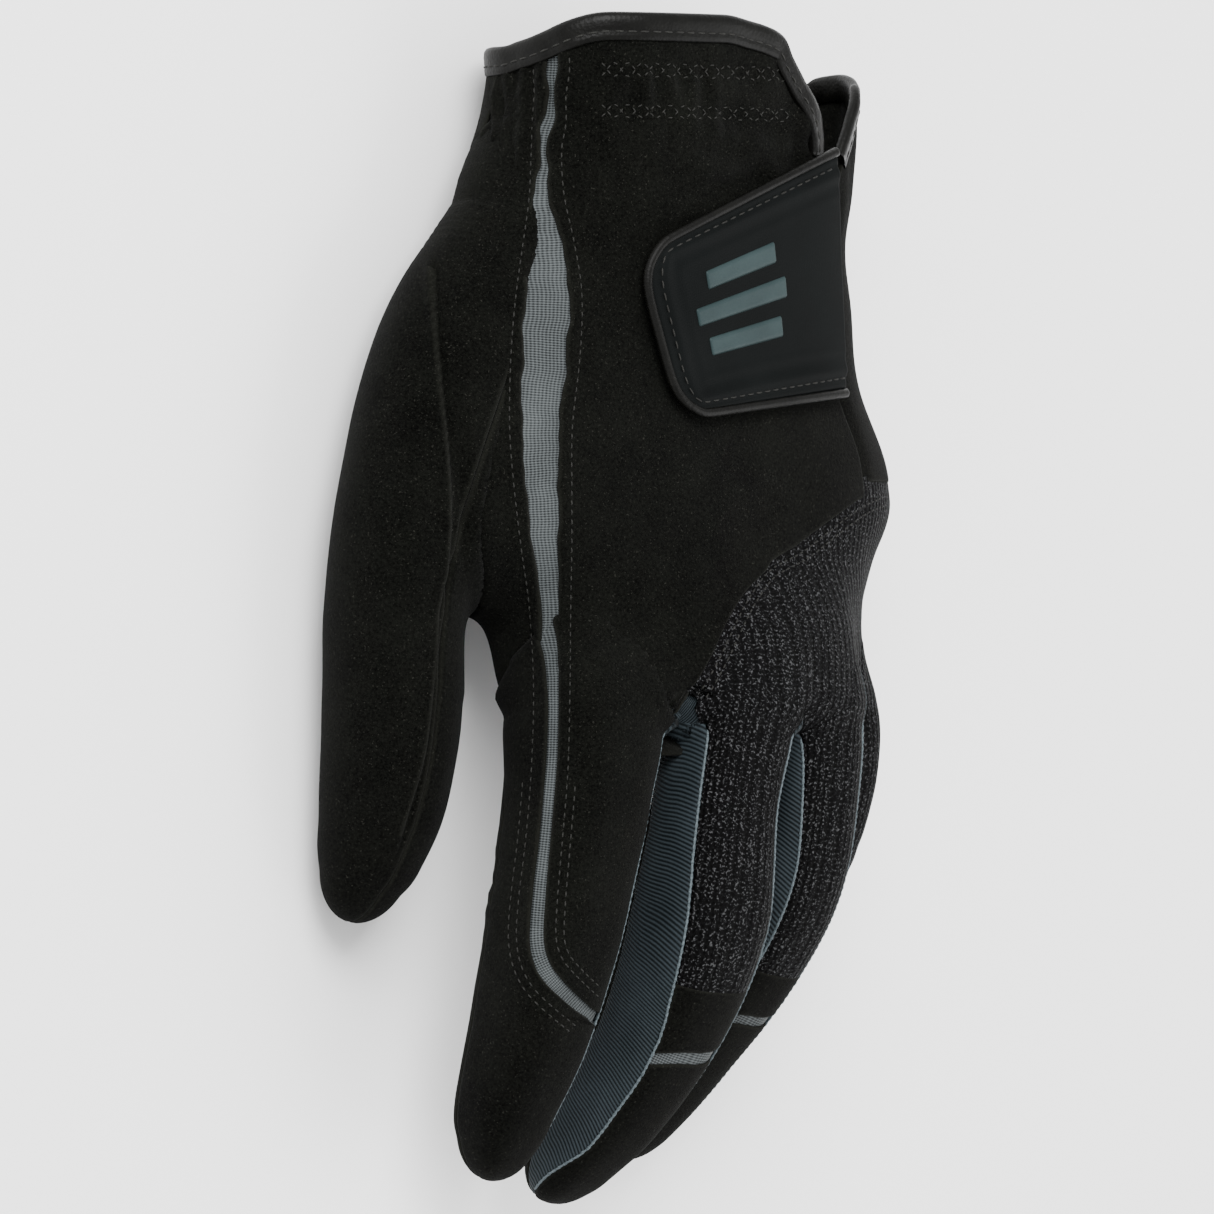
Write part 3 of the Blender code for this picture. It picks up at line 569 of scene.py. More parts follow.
def grid_normals(p, outward):
    du, dv = np.gradient(p, axis=0), np.gradient(p, axis=1)
    n = np.cross(du, dv)
    n /= np.maximum(np.linalg.norm(n, axis=-1, keepdims=True), 1e-9)
    flip = np.sign((n * outward).sum(-1, keepdims=True))
    reference = outward / np.maximum(np.linalg.norm(outward, axis=-1, keepdims=True), 1e-9)
    weak = np.abs((n * outward).sum(-1, keepdims=True)) < 0.05
    return np.where(weak, reference, n * np.where(flip == 0, 1, flip))


def placed(name, data):
    made = bpy.data.objects.new(name, data)
    bpy.context.scene.collection.objects.link(made)
    return made


def new_object(name, verts, faces, look):
    mesh = bpy.data.meshes.new(name)
    mesh.from_pydata(((verts + SHIFT) * MM).tolist(), [], faces)
    mesh.materials.append(LOOKS[look])
    mesh.shade_smooth()
    return placed(name, mesh)


def grid_faces(p, n, keep=None, wrap=False):
    rows, columns = p.shape[:2]
    index = np.arange(rows * columns).reshape(rows, columns)
    nxt = np.roll(index, -1, axis=0) if wrap else index[1:]
    base = index if wrap else index[:-1]
    quads = np.stack([base[:, :-1], nxt[:, :-1], nxt[:, 1:], base[:, 1:]], axis=-1).reshape(-1, 4)
    if keep is not None:
        quads = quads[keep.reshape(-1)[quads].any(axis=1)]
    flat, ways = p.reshape(-1, 3), n.reshape(-1, 3)
    turn = np.cross(flat[quads[:, 1]] - flat[quads[:, 0]], flat[quads[:, 3]] - flat[quads[:, 0]])
    if (turn * ways[quads[:, 0]]).sum() < 0:
        quads = quads[:, ::-1]
    return quads


def closed_tube(p, n):
    """The faces of a tube with closed ends; p holds its lengthwise lines, side by side."""
    sides, count = p.shape[:2]
    faces = grid_faces(p, n, wrap=True).tolist()
    faces.append([k * count for k in range(sides)])
    faces.append([k * count + count - 1 for k in reversed(range(sides))])
    return faces


skin = {"verts": [], "faces": [], "count": 0}
blends = {
    "index": ("index_finger", -47.0, -71.0),
    "middle": ("middle_finger", -51.0, -75.0),
    "ring": ("ring_finger", -47.0, -71.0),
    "little": ("little_finger", -37.0, -57.0),
    "thumb": ("thumb", -3.0, -26.0),
}


def attach(made, place):
    """Rides on a body, or for a finger or the thumb has its transform applied and stays unparented."""
    if place in blends:
        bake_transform(made)
    else:
        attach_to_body(made, place)
    return made


def fabric(name, sheet, look, place, replaced=None, thickness=FABRIC, sides=(0, 1, 2, 3)):
    """Makes a panel, which stands for the design's node of its name unless others are given."""
    quads = grid_faces(sheet.p, sheet.n, ~sheet.hidden)
    used = np.unique(quads)
    renumber = np.full(sheet.hidden.size, -1)
    renumber[used] = np.arange(len(used))
    verts = sheet.p.reshape(-1, 3)[used]
    faces = renumber[quads]
    made = new_object(name + "_cloth", verts, faces.tolist(), look)
    weave = np.stack([sheet.weave_u, sheet.weave_v, sheet.edge_distance(sides)], axis=-1)
    layer = made.data.attributes.new("weave", "FLOAT_VECTOR", "POINT")
    layer.data.foreach_set("vector", weave.reshape(-1, 3)[used].astype(np.float32).ravel())
    solid = made.modifiers.new("thickness", "SOLIDIFY")
    solid.thickness = thickness * MM
    solid.offset = -1
    solid.use_even_offset = False
    skin["verts"].append(verts)
    skin["faces"].append(faces + skin["count"])
    skin["count"] += len(verts)
    replaced = (name,) if replaced is None else replaced
    if replaced:
        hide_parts(*replaced)
    return attach(made, place)


# ---------------- folds in the fabric


def line_distance(across, y, line):
    """Distance from a line of the tilted view, and how far along the line."""
    line = np.array(line, float)
    best = np.full(np.shape(across), 1e9)
    share = np.zeros(np.shape(across))
    count = len(line) - 1
    for i in range(count):
        a, b = line[i], line[i + 1]
        way = b - a
        t = ((across - a[0]) * way[0] + (y - a[1]) * way[1]) / (way @ way)
        t = np.clip(t, 0, 1)
        d = np.hypot(across - a[0] - t * way[0], y - a[1] - t * way[1])
        share = np.where(d < best, (i + t) / count, share)
        best = np.minimum(best, d)
    return best, share


THUMB_SEAM = (
    (-34.2, 70.0), (-33.2, 55.0), (-32.0, 43.0), (-30.6, 31.0), (-30.0, 20.0), (-30.6, 8.0),
    (-32.4, -0.5), (-32.8, -10.0), (-35.0, -28.4), (-38.6, -41.4), (-42.0, -51.6),
)
THUMB_FOLD = ((-29.6, 35.0), (-28.3, 26.0), (-27.8, 16.0), (-28.6, 7.0))
CUFF_FOLDS = (
    ((-21.5, 110.0), (-21.0, 96.0), (-23.0, 84.0)),
    ((-18.2, 111.0), (-18.6, 98.0), (-19.5, 88.0), (-22.5, 76.0)),
    ((-15.2, 108.0), (-15.0, 95.0), (-15.8, 84.0)),
    ((-24.0, 104.0), (-23.6, 94.0), (-25.5, 84.0)),
)
TAB_FOLDS = (
    ((41.0, 93.0), (32.0, 95.0), (20.0, 99.0)),
    ((38.0, 90.0), (28.0, 89.5), (16.0, 92.0)),
    ((30.0, 86.0), (20.0, 83.0), (8.0, 84.0)),
)


def common_relief(p):
    """The soft unevenness that every panel shares, so that neighbours meet."""
    return 0.5 * wander(p, (24, 32, 24), 1) + 0.2 * wander(p, (9, 13, 9), 2)


def thumb_relief(sheet):
    """The set-in thumb's seam and the fold beside it, on the thumb and on the hand alike."""
    p = sheet.p
    facing = np.clip((sheet.n @ BACKWARD) * 2.5, 0, 1)
    across, y = across_view(p), p[..., 1]
    seam = smooth_line(THUMB_SEAM, 4.0)
    d, t = line_distance(across, y, seam)
    order = np.argsort(seam[:, 1])
    side = np.where(across < np.interp(y, seam[order, 1], seam[order, 0]), -1.0, 1.0)
    ends = ease(t, 0.0, 0.04) * (1 - ease(t, 0.9, 1.0))
    ridge = 0.75 * bump_at(side * d + 1.1, 0.9) - 1.2 * bump_at(d - 0.1, 0.6)
    ridge -= 0.3 * bump_at(side * d - 2.0, 1.6)
    # the suede's painted edge highlight follows this line along the ridge beside the seam
    sheet.seam = np.where(facing * ends > 0.5, np.abs(side * d + 0.8), NO_SEAM)
    h = common_relief(p) + facing * ends * ridge
    d, t = line_distance(across, y, THUMB_FOLD)
    return h - 1.6 * facing * np.sin(math.pi * np.clip(t * 0.9 + 0.05, 0, 1)) * bump_at(d, 1.7)


def hand_relief(sheet):
    p = sheet.p
    facing = np.clip((sheet.n @ BACKWARD) * 2.5, 0, 1)
    across, y = across_view(p), p[..., 1]
    h = thumb_relief(sheet)
    gather = bump_at(y - GATHER_Y, 9.0) + 0.45 * bump_at(y - 92.0, 9.0)
    h += 0.85 * gather * wander(p, GATHER_SCALE, 3)
    for fold in CUFF_FOLDS:
        d, t = line_distance(across, y, fold)
        strength = facing * np.sin(math.pi * np.clip(t, 0.02, 0.98)) ** 0.5
        h += strength * (0.55 * bump_at(d - 1.2, 1.1) - 0.95 * bump_at(d, 0.8))
    for fold in TAB_FOLDS:
        d, t = line_distance(across, y, fold)
        h -= 1.3 * facing * (1 - t) ** 0.7 * bump_at(d, 2.2)
        h += 0.8 * facing * (1 - t) ** 0.7 * bump_at(d - 3.8, 2.2)
    for row, span in ((107.0, 34.0), (98.5, 36.0)):
        inside = ease(across, -3.0, 0.0) * (1 - ease(across, span, span + 3.0))
        h -= 0.5 * facing * inside * bump_at(y - row, 1.4)
        h += 0.45 * facing * inside * wander(p, (3.2, 6, 3.2), 5) * bump_at(y - row, 6.0)
    seam, _ = line_distance(across, y, STRIP_LINE[::12, :2])
    half = np.interp(y, STRIP_LINE[::-1, 1], STRIP_LINE[::-1, 2])
    h += facing * 0.3 * bump_at(seam - half - 1.3, 1.2)
    h += facing * 0.2 * wander(p, (9, 3.2, 9), 8) * bump_at(seam - half - 3.0, 2.4)
    return h


def finger_relief(sheet, joint, seed):
    p = sheet.p
    h = common_relief(p) * 0.8 + 0.1 * wander(p, (6, 8, 6), seed + 3) * ease(-p[..., 1], 24, 34)
    near = bump_at(sheet.along - joint, 9.0)
    palm = np.clip(-np.sin(np.radians(sheet.angle)), 0, 1)
    h += near * wander(p, (14, 2.6, 14), seed + 5) * (0.18 + 0.7 * palm)
    return h


# ---------------- materials


class Look:
    """A procedural material under construction; each helper returns a socket."""

    def __init__(self, name, **constants):
        self.material = bpy.data.materials.new(name)
        self.material.use_nodes = True
        self.tree = self.material.node_tree
        self.shader = self.tree.nodes["Principled BSDF"]
        for key, value in constants.items():
            self.shader.inputs[key.replace("_", " ")].default_value = value
        self.place = self.node("ShaderNodeTexCoord").outputs["Object"]

    def node(self, kind, **settings):
        made = self.tree.nodes.new(kind)
        for key, value in settings.items():
            setattr(made, key, value)
        return made

    def put(self, socket, value):
        if isinstance(value, bpy.types.NodeSocket):
            self.tree.links.new(value, socket)
        else:
            socket.default_value = value

    def math(self, operation, a, b=0.0, c=0.0):
        made = self.node("ShaderNodeMath", operation=operation)
        for socket, value in zip(made.inputs, (a, b, c)):
            self.put(socket, value)
        return made.outputs[0]

    def times(self, a, b):
        return self.math("MULTIPLY", a, b)

    def madd(self, a, b, c):
        return self.math("MULTIPLY_ADD", a, b, c)

    def noise(self, scale, detail, roughness):
        made = self.node("ShaderNodeTexNoise")
        made.inputs["Scale"].default_value = scale
        made.inputs["Detail"].default_value = detail
        made.inputs["Roughness"].default_value = roughness
        self.put(made.inputs["Vector"], self.place)
        return made.outputs["Fac"]

    def spots(self, scale):
        made = self.node("ShaderNodeTexVoronoi")
        made.inputs["Scale"].default_value = scale
        self.put(made.inputs["Vector"], self.place)
        return made.outputs["Distance"]

    def weave(self):
        """The fabric's own coordinates: across, along and distance from the edge, in mm."""
        made = self.node("ShaderNodeAttribute", attribute_name="weave")
        parts = self.node("ShaderNodeSeparateXYZ")
        self.tree.links.new(made.outputs["Vector"], parts.inputs[0])
        return parts.outputs[0], parts.outputs[1], parts.outputs[2]

    def wave(self, value, period):
        """From 0 to 1 and back once in each period."""
        turned = self.math("SINE", self.math("MULTIPLY", value, 2 * math.pi / period))
        return self.math("MULTIPLY_ADD", turned, 0.5, 0.5)

    def grey_ramp(self, value, low, high, to_low=0.0, to_high=1.0):
        made = self.node("ShaderNodeValToRGB")
        self.put(made.inputs[0], value)
        for element, at, grey in zip(made.color_ramp.elements, (low, high), (to_low, to_high)):
            element.position = at
            element.color = (grey, grey, grey, 1.0)
        return made.outputs[0]

    def mix(self, share, a, b):
        made = self.node("ShaderNodeMix", data_type="RGBA")
        self.put(made.inputs["Factor"], share)
        for socket, value in ((made.inputs["A"], a), (made.inputs["B"], b)):
            self.put(socket, (*value, 1.0) if isinstance(value, tuple) else value)
        return made.outputs["Result"]

    def shade(self, value, low, high, dark, light):
        return self.mix(self.grey_ramp(value, low, high), dark, light)

    def finish(self, colour=None, roughness=None, height=None, strength=0.5, distance=0.2):
        """distance is the height that a bump value of 1 stands for, in millimetres."""
        if colour is not None:
            self.put(self.shader.inputs["Base Color"], colour)
        if roughness is not None:
            self.put(self.shader.inputs["Roughness"], roughness)
        if height is not None:
            bump = self.node("ShaderNodeBump")
            bump.inputs["Strength"].default_value = strength
            bump.inputs["Distance"].default_value = distance * MM
            self.put(bump.inputs["Height"], height)
            self.tree.links.new(bump.outputs[0], self.shader.inputs["Normal"])
        return self.material


def suede_look(name, lightness=1.0):
    look = Look(name, Sheen_Weight=0.015, Sheen_Roughness=0.5, Specular_IOR_Level=0.02)
    nap = look.noise(1700, 4, 0.8)
    clouds = look.noise(130, 4, 0.65)
    patches = look.noise(32, 2, 0.5)
    glint_noise = look.noise(2300, 1, 0.5)
    dark = tuple(v * lightness for v in (0.0003, 0.0003, 0.0002))
    light = tuple(v * lightness for v in (0.0058, 0.0062, 0.0050))
    tone = look.madd(nap, 0.9, look.madd(clouds, 0.25, -0.08))
    tone = look.math("ADD", tone, look.madd(patches, 0.2, -0.1))
    base = look.shade(tone, 0.35, 0.78, dark, light)
    # painted highlight: small light flecks stand for glints off the suede's fuzz
    painted_glint = look.grey_ramp(glint_noise, 0.66, 0.76)
    colour = look.mix(look.times(painted_glint, 0.6), base, (0.019, 0.019, 0.016))
    _, _, edge = look.weave()
    # painted highlight: lighter towards panel edges and along the thumb seam's ridge, where the nap
    # catches light
    edge_highlight = look.math("SUBTRACT", 1.0, look.grey_ramp(look.times(edge, 0.5), 0.05, 0.45))
    colour = look.mix(look.times(edge_highlight, 0.3), colour, (0.016, 0.0165, 0.0135))
    height = look.madd(nap, 0.8, look.times(clouds, 0.4))
    roughness = look.grey_ramp(clouds, 0.2, 0.8, 0.82, 1.0)
    return look.finish(colour, roughness, height, 0.8, 0.35)


def knit_look():
    look = Look("knit_mesh", Specular_IOR_Level=0.04)
    across, along, _ = look.weave()
    wobble = look.noise(330, 2, 0.5)
    u = look.madd(wobble, 0.9, across)
    row = look.math("FLOOR", look.math("DIVIDE", u, 0.85))
    stagger = look.times(look.math("MODULO", row, 2.0), 0.5)
    v = look.math("ADD", look.madd(wobble, 0.8, along), stagger)
    wale = look.math("POWER", look.wave(u, 1.7), 0.7)
    loop = look.wave(v, 1.0)
    yarn = look.noise(2300, 3, 0.7)
    height = look.madd(wale, 0.8, look.times(loop, 0.55))
    height = look.madd(yarn, 0.6, height)
    glint = look.grey_ramp(look.noise(2100, 2, 0.6), 0.55, 0.64)
    glint = look.times(glint, look.grey_ramp(height, 0.7, 1.4))
    base = look.shade(height, 0.5, 1.6, (0.0001, 0.0001, 0.0001), (0.0008, 0.0008, 0.0009))
    colour = look.mix(look.times(glint, 0.8), base, (0.052, 0.053, 0.055))
    return look.finish(colour, look.grey_ramp(yarn, 0.3, 0.7, 0.6, 0.85), height, 0.8, 0.35)


def ribbed_look(name, low, high, rib, slant, depth, cross=None):
    """Stretch fabric with fine ribs; slant leans them, and cross adds a lengthwise weave."""
    look = Look(name, Specular_IOR_Level=0.06, Sheen_Weight=0.02, Sheen_Roughness=0.4)
    across, along, _ = look.weave()
    wobble = look.madd(look.noise(70, 2, 0.5), 0.9, along)
    line = look.madd(across, slant, wobble)
    ribs = look.wave(line, rib)
    if cross:
        ribs = look.madd(look.wave(across, cross), 0.45, look.times(ribs, 0.7))
    thread = look.noise(2200, 2, 0.6)
    clouds = look.noise(90, 3, 0.5)
    tone = look.madd(ribs, 0.75, look.madd(thread, 0.35, -0.1))
    tone = look.math("ADD", tone, look.madd(clouds, 0.5, -0.25))
    colour = look.shade(tone, 0.1, 1.0, low, high)
    height = look.madd(thread, 0.25, ribs)
    return look.finish(colour, look.grey_ramp(clouds, 0.2, 0.8, 0.55, 0.75), height, 0.8, depth)


def leather_look():
    look = Look("binding_leather", Specular_IOR_Level=0.09)
    grain = look.spots(1400)
    creases = look.noise(420, 4, 0.6)
    clouds = look.noise(60, 2, 0.5)
    height = look.madd(grain, 0.6, look.times(creases, 0.7))
    colour = look.shade(creases, 0.3, 0.75, (0.0008, 0.0008, 0.0006), (0.0026, 0.0026, 0.0021))
    roughness = look.grey_ramp(clouds, 0.25, 0.75, 0.36, 0.52)
    return look.finish(colour, roughness, height, 0.5, 0.16)


def rubber_look():
    look = Look("tab_rubber", Specular_IOR_Level=0.03)
    fine = look.noise(3000, 2, 0.6)
    weave_u, weave_v, _ = look.weave()
    cloth = look.times(look.wave(weave_u, 0.55), look.wave(weave_v, 0.55))
    clouds = look.noise(45, 3, 0.55)
    colour = look.shade(clouds, 0.3, 0.7, (0.0016, 0.0020, 0.0020), (0.0030, 0.0036, 0.0036))
    height = look.madd(cloth, 0.35, look.times(fine, 0.8))
    return look.finish(colour, look.grey_ramp(clouds, 0.2, 0.8, 0.5, 0.62), height, 0.45, 0.08)


def emblem_look():
    look = Look("emblem_print", Specular_IOR_Level=0.1)
    fine = look.noise(2400, 2, 0.6)
    clouds = look.noise(90, 3, 0.5)
    colour = look.shade(clouds, 0.3, 0.7, (0.012, 0.021, 0.022), (0.018, 0.030, 0.031))
    return look.finish(colour, look.grey_ramp(fine, 0.3, 0.7, 0.42, 0.55), fine, 0.4, 0.06)


def thread_look(name, low, high):
    look = Look(name, Specular_IOR_Level=0.15)
    twist = look.noise(3000, 2, 0.6)
    colour = look.shade(twist, 0.3, 0.7, low, high)
    return look.finish(colour, 0.6, twist, 0.5, 0.1)


def elastic_look():
    look = Look("elastic_tape", Specular_IOR_Level=0.1)
    across, along, _ = look.weave()
    ribs = look.wave(along, 1.3)
    picks = look.wave(across, 0.7)
    height = look.madd(ribs, 0.8, look.times(picks, 0.4))
    colour = look.shade(height, 0.2, 1.1, (0.006, 0.006, 0.006), (0.022, 0.022, 0.022))
    return look.finish(colour, 0.75, height, 0.7, 0.3)


def pile_look(name, scale, low, high, rough):
    look = Look(name, Specular_IOR_Level=0.06, Sheen_Weight=0.02)
    loops = look.spots(scale)
    fuzz = look.noise(2400, 3, 0.7)
    height = look.math("SUBTRACT", fuzz, loops)
    colour = look.shade(loops, 0.0, 0.6, high, low)
    return look.finish(colour, rough, height, 0.9, 0.5)


LOOKS = {
    "suede": suede_look("microsuede"),
    "palm": suede_look("palm_suede", 1.15),
    "knit": knit_look(),
    "strip": ribbed_look(
        "stretch_strip_ribs", (0.006, 0.0068, 0.0072), (0.078, 0.087, 0.089), 0.5, 0.0, 0.12, 0.8
    ),
    "side": ribbed_look(
        "fourchette_ribs", (0.0020, 0.0032, 0.0038), (0.025, 0.033, 0.038), 0.8, 0.35, 0.12
    ),
    "binding": leather_look(),
    "rubber": rubber_look(),
    "emblem": emblem_look(),
    "thread": thread_look("dark_thread", (0.003, 0.003, 0.0027), (0.016, 0.016, 0.014)),
    "grey_thread": thread_look("grey_thread", (0.022, 0.03, 0.034), (0.085, 0.105, 0.115)),
    "elastic": elastic_look(),
    "loop": pile_look("loop_pile", 900, (0.002, 0.002, 0.002), (0.012, 0.012, 0.012), 0.95),
    "hook": pile_look("hook_tape", 620, (0.0015, 0.0015, 0.0015), (0.012, 0.012, 0.012), 0.6),
}


# ---------------- the hand


STRIP_RIGHT, STRIP_LEFT = strip_on_hand(1), strip_on_hand(-1)


def sewn(name, angles, alongs, sides, drop=0.5, look="suede", relief=None, replaced=None):
    """A panel of the hand whose listed edges are sewn down."""
    sheet = Sheet(hand_point, angles, alongs, "hand")
    sheet.raised((relief or hand_relief)(sheet)).roll(sides, drop)
    return fabric(name, sheet, look, "hand", replaced, sides=sides)


def rim_from(edge, other_end, edge_share):
    """The panel's upper end: the rim between a strip's edge and another angle."""

    def top(share):
        at_strip = edge(np.full(np.shape(share), RIM_Y))
        first, last = (at_strip, other_end) if edge_share == 0 else (other_end, at_strip)
        return rim_on_back(first + (last - first) * share) - UNDER_BINDING

    return top


def back_left(y):
    return slit_back_side(y) + 5.0 * ease(y, 78.0, 88.0) - 13.0 * (1 - ease(y, 70.0, 86.0))


def back_low(share):
    guess = np.zeros(np.shape(share))
    for _ in range(3):
        first = back_left(guess)
        guess = above_knit(first + (STRIP_RIGHT(guess) - first) * share)
    return np.maximum(guess, PANEL_BOTTOM)


def back_panels():
    top = rim_from(STRIP_RIGHT, SLIT_ANGLES[3], 1)
    sewn("back_panel", (back_left, STRIP_RIGHT), (back_low, top), (0, 1, 2))
    top = rim_from(STRIP_LEFT, THUMB_SEAM_ANGLE, 0)
    nodes = ("thumb_side_panel", "thumb_gusset")
    angles = (STRIP_LEFT, THUMB_SEAM_ANGLE)
    sewn("thumb_side_panel", angles, (PANEL_BOTTOM, top), (0, 1), replaced=nodes)


def strip_top(share):
    return rim_on_back(STRIP_RIGHT(np.full(np.shape(share), RIM_Y))) - 2.5


def hand_strip():
    angles = (strip_on_hand(1, 0.7), strip_on_hand(-1, 0.7))
    alongs = (PANEL_BOTTOM, strip_top)
    strip = Sheet(hand_point, angles, alongs, "hand", lift=STRIP_SUNK, step=0.7)
    strip.raised(hand_relief(strip))
    follow_strip(strip)
    fabric("stretch_strip", strip, "strip", "hand")


def crotch(y, column, spread=0.0):
    """The angle of one side of the first fourchette's point: column 1 left, 2 right."""
    rows = np.array(CROTCH_POINT)
    return angle_across(np.interp(y, rows[:, 0], rows[:, column]) + spread, y)


def knit_left(y):
    low = crotch(-17.4, 2)
    above = np.interp(y, (-17.4, -15.8, -9.0), (low, low + 7.0, 120.0))
    return np.where(y < -17.4, crotch(y, 2), above)


def knit_top(share):
    return above_knit(16.0 + 100.0 * share) + 4.0 * ease(share, 1.0, 0.85)


def knuckles():
    """The knit over the knuckles, and the first fourchette's point beside it."""
    knit = Sheet(hand_point, (14.0, knit_left), (PANEL_BOTTOM, knit_top), "hand", lift=-0.35)
    angles = (lambda y: crotch(y, 2, 2.2), lambda y: crotch(y, 1, -2.2))
    wedge = Sheet(hand_point, angles, (PANEL_BOTTOM, -13.4), "hand", lift=-1.0, step=0.6)
    fabric("crotch_wedge", wedge, "side", "hand", ())
    knit.raised(0.7 * hand_relief(knit))
    knit.weave_u, knit.weave_v = np.radians(knit.angle) * -40.0, knit.along
    fabric("knuckle_mesh_panel", knit, "knit", "hand", sides=(0,))


def closure_high(y):
    return slit_flap_side(y) - 0.6 - 4.6 * ease(y, 80.0, 90.0)


def closure_side():
    """The panel the tab grows from, tucked under the back panel below the slit."""
    angles = (PALM_ULNAR_ANGLE - FULL, closure_high)
    alongs = (SIDE_SEAM_Y - 1.5, lambda share: side_top(share) - UNDER_BINDING)
    closure = Sheet(hand_point, angles, alongs, "hand")
    closure.raised(hand_relief(closure)).roll((0, 2), 0.3)
    tucked = 1.1 * (1 - ease(closure.edges[1], 1.0, 7.0)) * (1 - ease(closure.along, 78.0, 90.0))
    closure.raised(-tucked)
    fabric("closure_side_panel", closure, "suede", "hand", sides=(0, 1, 2))


def hand_panels():
    back_panels()
    hand_strip()
    angles, alongs = (THUMB_SEAM_ANGLE, PALM_ULNAR_ANGLE), (PANEL_BOTTOM, CUFF_PALM - UNDER_BINDING)
    sewn("palm_panel", angles, alongs, (0, 1), 0.4, "palm", palm_relief)
    knuckles()
    angles = (PALM_ULNAR_ANGLE - FULL, 21.0)
    sewn("little_side_panel", angles, (PANEL_BOTTOM, SIDE_SEAM_Y), (0, 1, 3), 0.4)
    closure_side()
    elastic = Sheet(hand_point, (84.0, 186.0), (95.0, 108.5), "hand", lift=-1.5)
    elastic.raised(0.5 * wander(elastic.p, GATHER_SCALE, 3))
    fabric("cuff_elastic", elastic, "elastic", "hand")


def follow_strip(sheet):
    """The strip's weave runs along it, round its bend too."""
    line = STRIP_LINE[::8, :2]
    _, share = line_distance(across_view(sheet.p), sheet.p[..., 1], line)
    sheet.weave_v = share * np.linalg.norm(np.diff(line, axis=0), axis=1).sum()


PALM_CREASES = (
    ((-30, -12), (-16, 14), (-8, 44)),
    ((-26, -4), (4, 2), (34, -10)),
    ((-34, 2), (-22, 30), (-24, 60)),
)


def palm_relief(sheet):
    p = sheet.p
    h = common_relief(p)
    h += 0.8 * bump_at(p[..., 1] - GATHER_Y, 9.0) * wander(p, GATHER_SCALE, 3)
    for crease in PALM_CREASES:
        d, t = line_distance(p[..., 0], p[..., 1], crease)
        below = np.clip(-sheet.n[..., 2] * 3, 0, 1)
        h -= 0.9 * below * np.sin(math.pi * np.clip(t, 0.03, 0.97)) * bump_at(d, 1.5)
    return np.where(p[..., 2] < 1.5, np.minimum(h, 0.0) * 0.5, h)


# ---------------- fingers and thumb


SIDE_SHARES = (0.0, 0.12, 0.3, 0.5, 0.66, 0.86, 0.94, 1.0)
SIDE_HIGHS = {
    "middle": (158, 155, 152, 144, 134, 138, 160, 171),
    "ring": (150, 134, 124, 128, 140, 146, 162, 171),
    "little": (150, 132, 124, 130, 142, 148, 162, 171),
}


def side_high(name):
    """The angle where a finger's back meets its thumb-side wall, by share of its length."""
    return lambda share: np.interp(share, SIDE_SHARES, SIDE_HIGHS[name])


def side_low(share):
    return np.interp(share, (0.1, 0.26, 0.84, 0.94, 1.0), (238, 208, 208, 200, 189))


def ulnar_high(share):
    return np.interp(share, (0.0, 0.84, 0.94, 1.0), (42, 42, 22, 9))


def ulnar_low(share):
    return np.interp(share, (0.0, 0.84, 0.94, 1.0), (-28, -28, -18, -9))


def finger_panel(name, label, angles, alongs, look, roll=(0, 1), lift=0.0, extra=None, adjust=None):
    """One panel of a finger; extra is the label of a second node that it stands for."""
    tube = TUBES[name]
    seed = list(FINGERS).index(name) * 9 + 20

    def by_length(limit):
        return lambda along: limit(tube.share(along))

    sheet = Sheet(tube.point, tuple(by_length(a) for a in angles), alongs, name, lift)
    sheet.raised(finger_relief(sheet, tube.at(0.4), seed))
    sheet.roll(roll, 0.42, 0.8)
    if adjust:
        adjust(sheet)
    else:
        sheet.weave_u, sheet.weave_v = np.radians(sheet.angle - 90) * 11.0, sheet.along
    replaced = (name + label, name + extra) if extra else None
    return fabric(name + label, sheet, look, name, replaced, sides=roll)


def crescent(name, share_along, more=0.0):
    """The knuckle strip leans: further down its finger on the thumb's side."""
    middle = TUBES[name].at(share_along) + more
    return lambda s: middle + CRESCENT_LEAN * (s - 0.5) - 2.6 * s * (1 - s)


def finger_back(name, start, end):
    """Knit from the root, then suede, which a stretch strip crosses on the longer fingers."""
    angles = (ulnar_high, side_high(name))
    tip_start = knit_end = TUBES[name].at(KNIT_SHARES[name])
    alongs = (start, knit_end + 1.5)
    finger_panel(name, "_mesh_panel", angles, alongs, "knit", lift=-0.15, extra="_mesh_end")
    if name in STRIP_SHARES:
        first, last = STRIP_SHARES[name]
        alongs = (knit_end, crescent(name, first, 0.5))
        finger_panel(name, "_middle_panel", angles, alongs, "suede", (0, 1, 2, 3))
        alongs = (crescent(name, first, -0.8), crescent(name, last, 0.8))
        finger_panel(name, "_knuckle_strip", angles, alongs, "strip", (), -0.6)
        tip_start = crescent(name, last, -0.5)
    finger_panel(name, "_back_tip", angles, (tip_start, end), "suede", (0, 1, 2))


def finger(name):
    ends = (1.0, TUBES[name].length - END_GAP)
    if name == "index":
        index_back(*ends)
    else:
        finger_back(name, *ends)
        finger_panel(name, "_thumb_side_fourchette", (side_high(name), side_low), ends, "side")
    palm_angles = (side_low, lambda share: ulnar_low(share) + FULL)
    finger_panel(name, "_palm_panel", palm_angles, ends, "palm")
    angles = (ulnar_low, ulnar_high)
    finger_panel(name, "_little_side_fourchette", angles, ends, "side", extra="_root_panel")


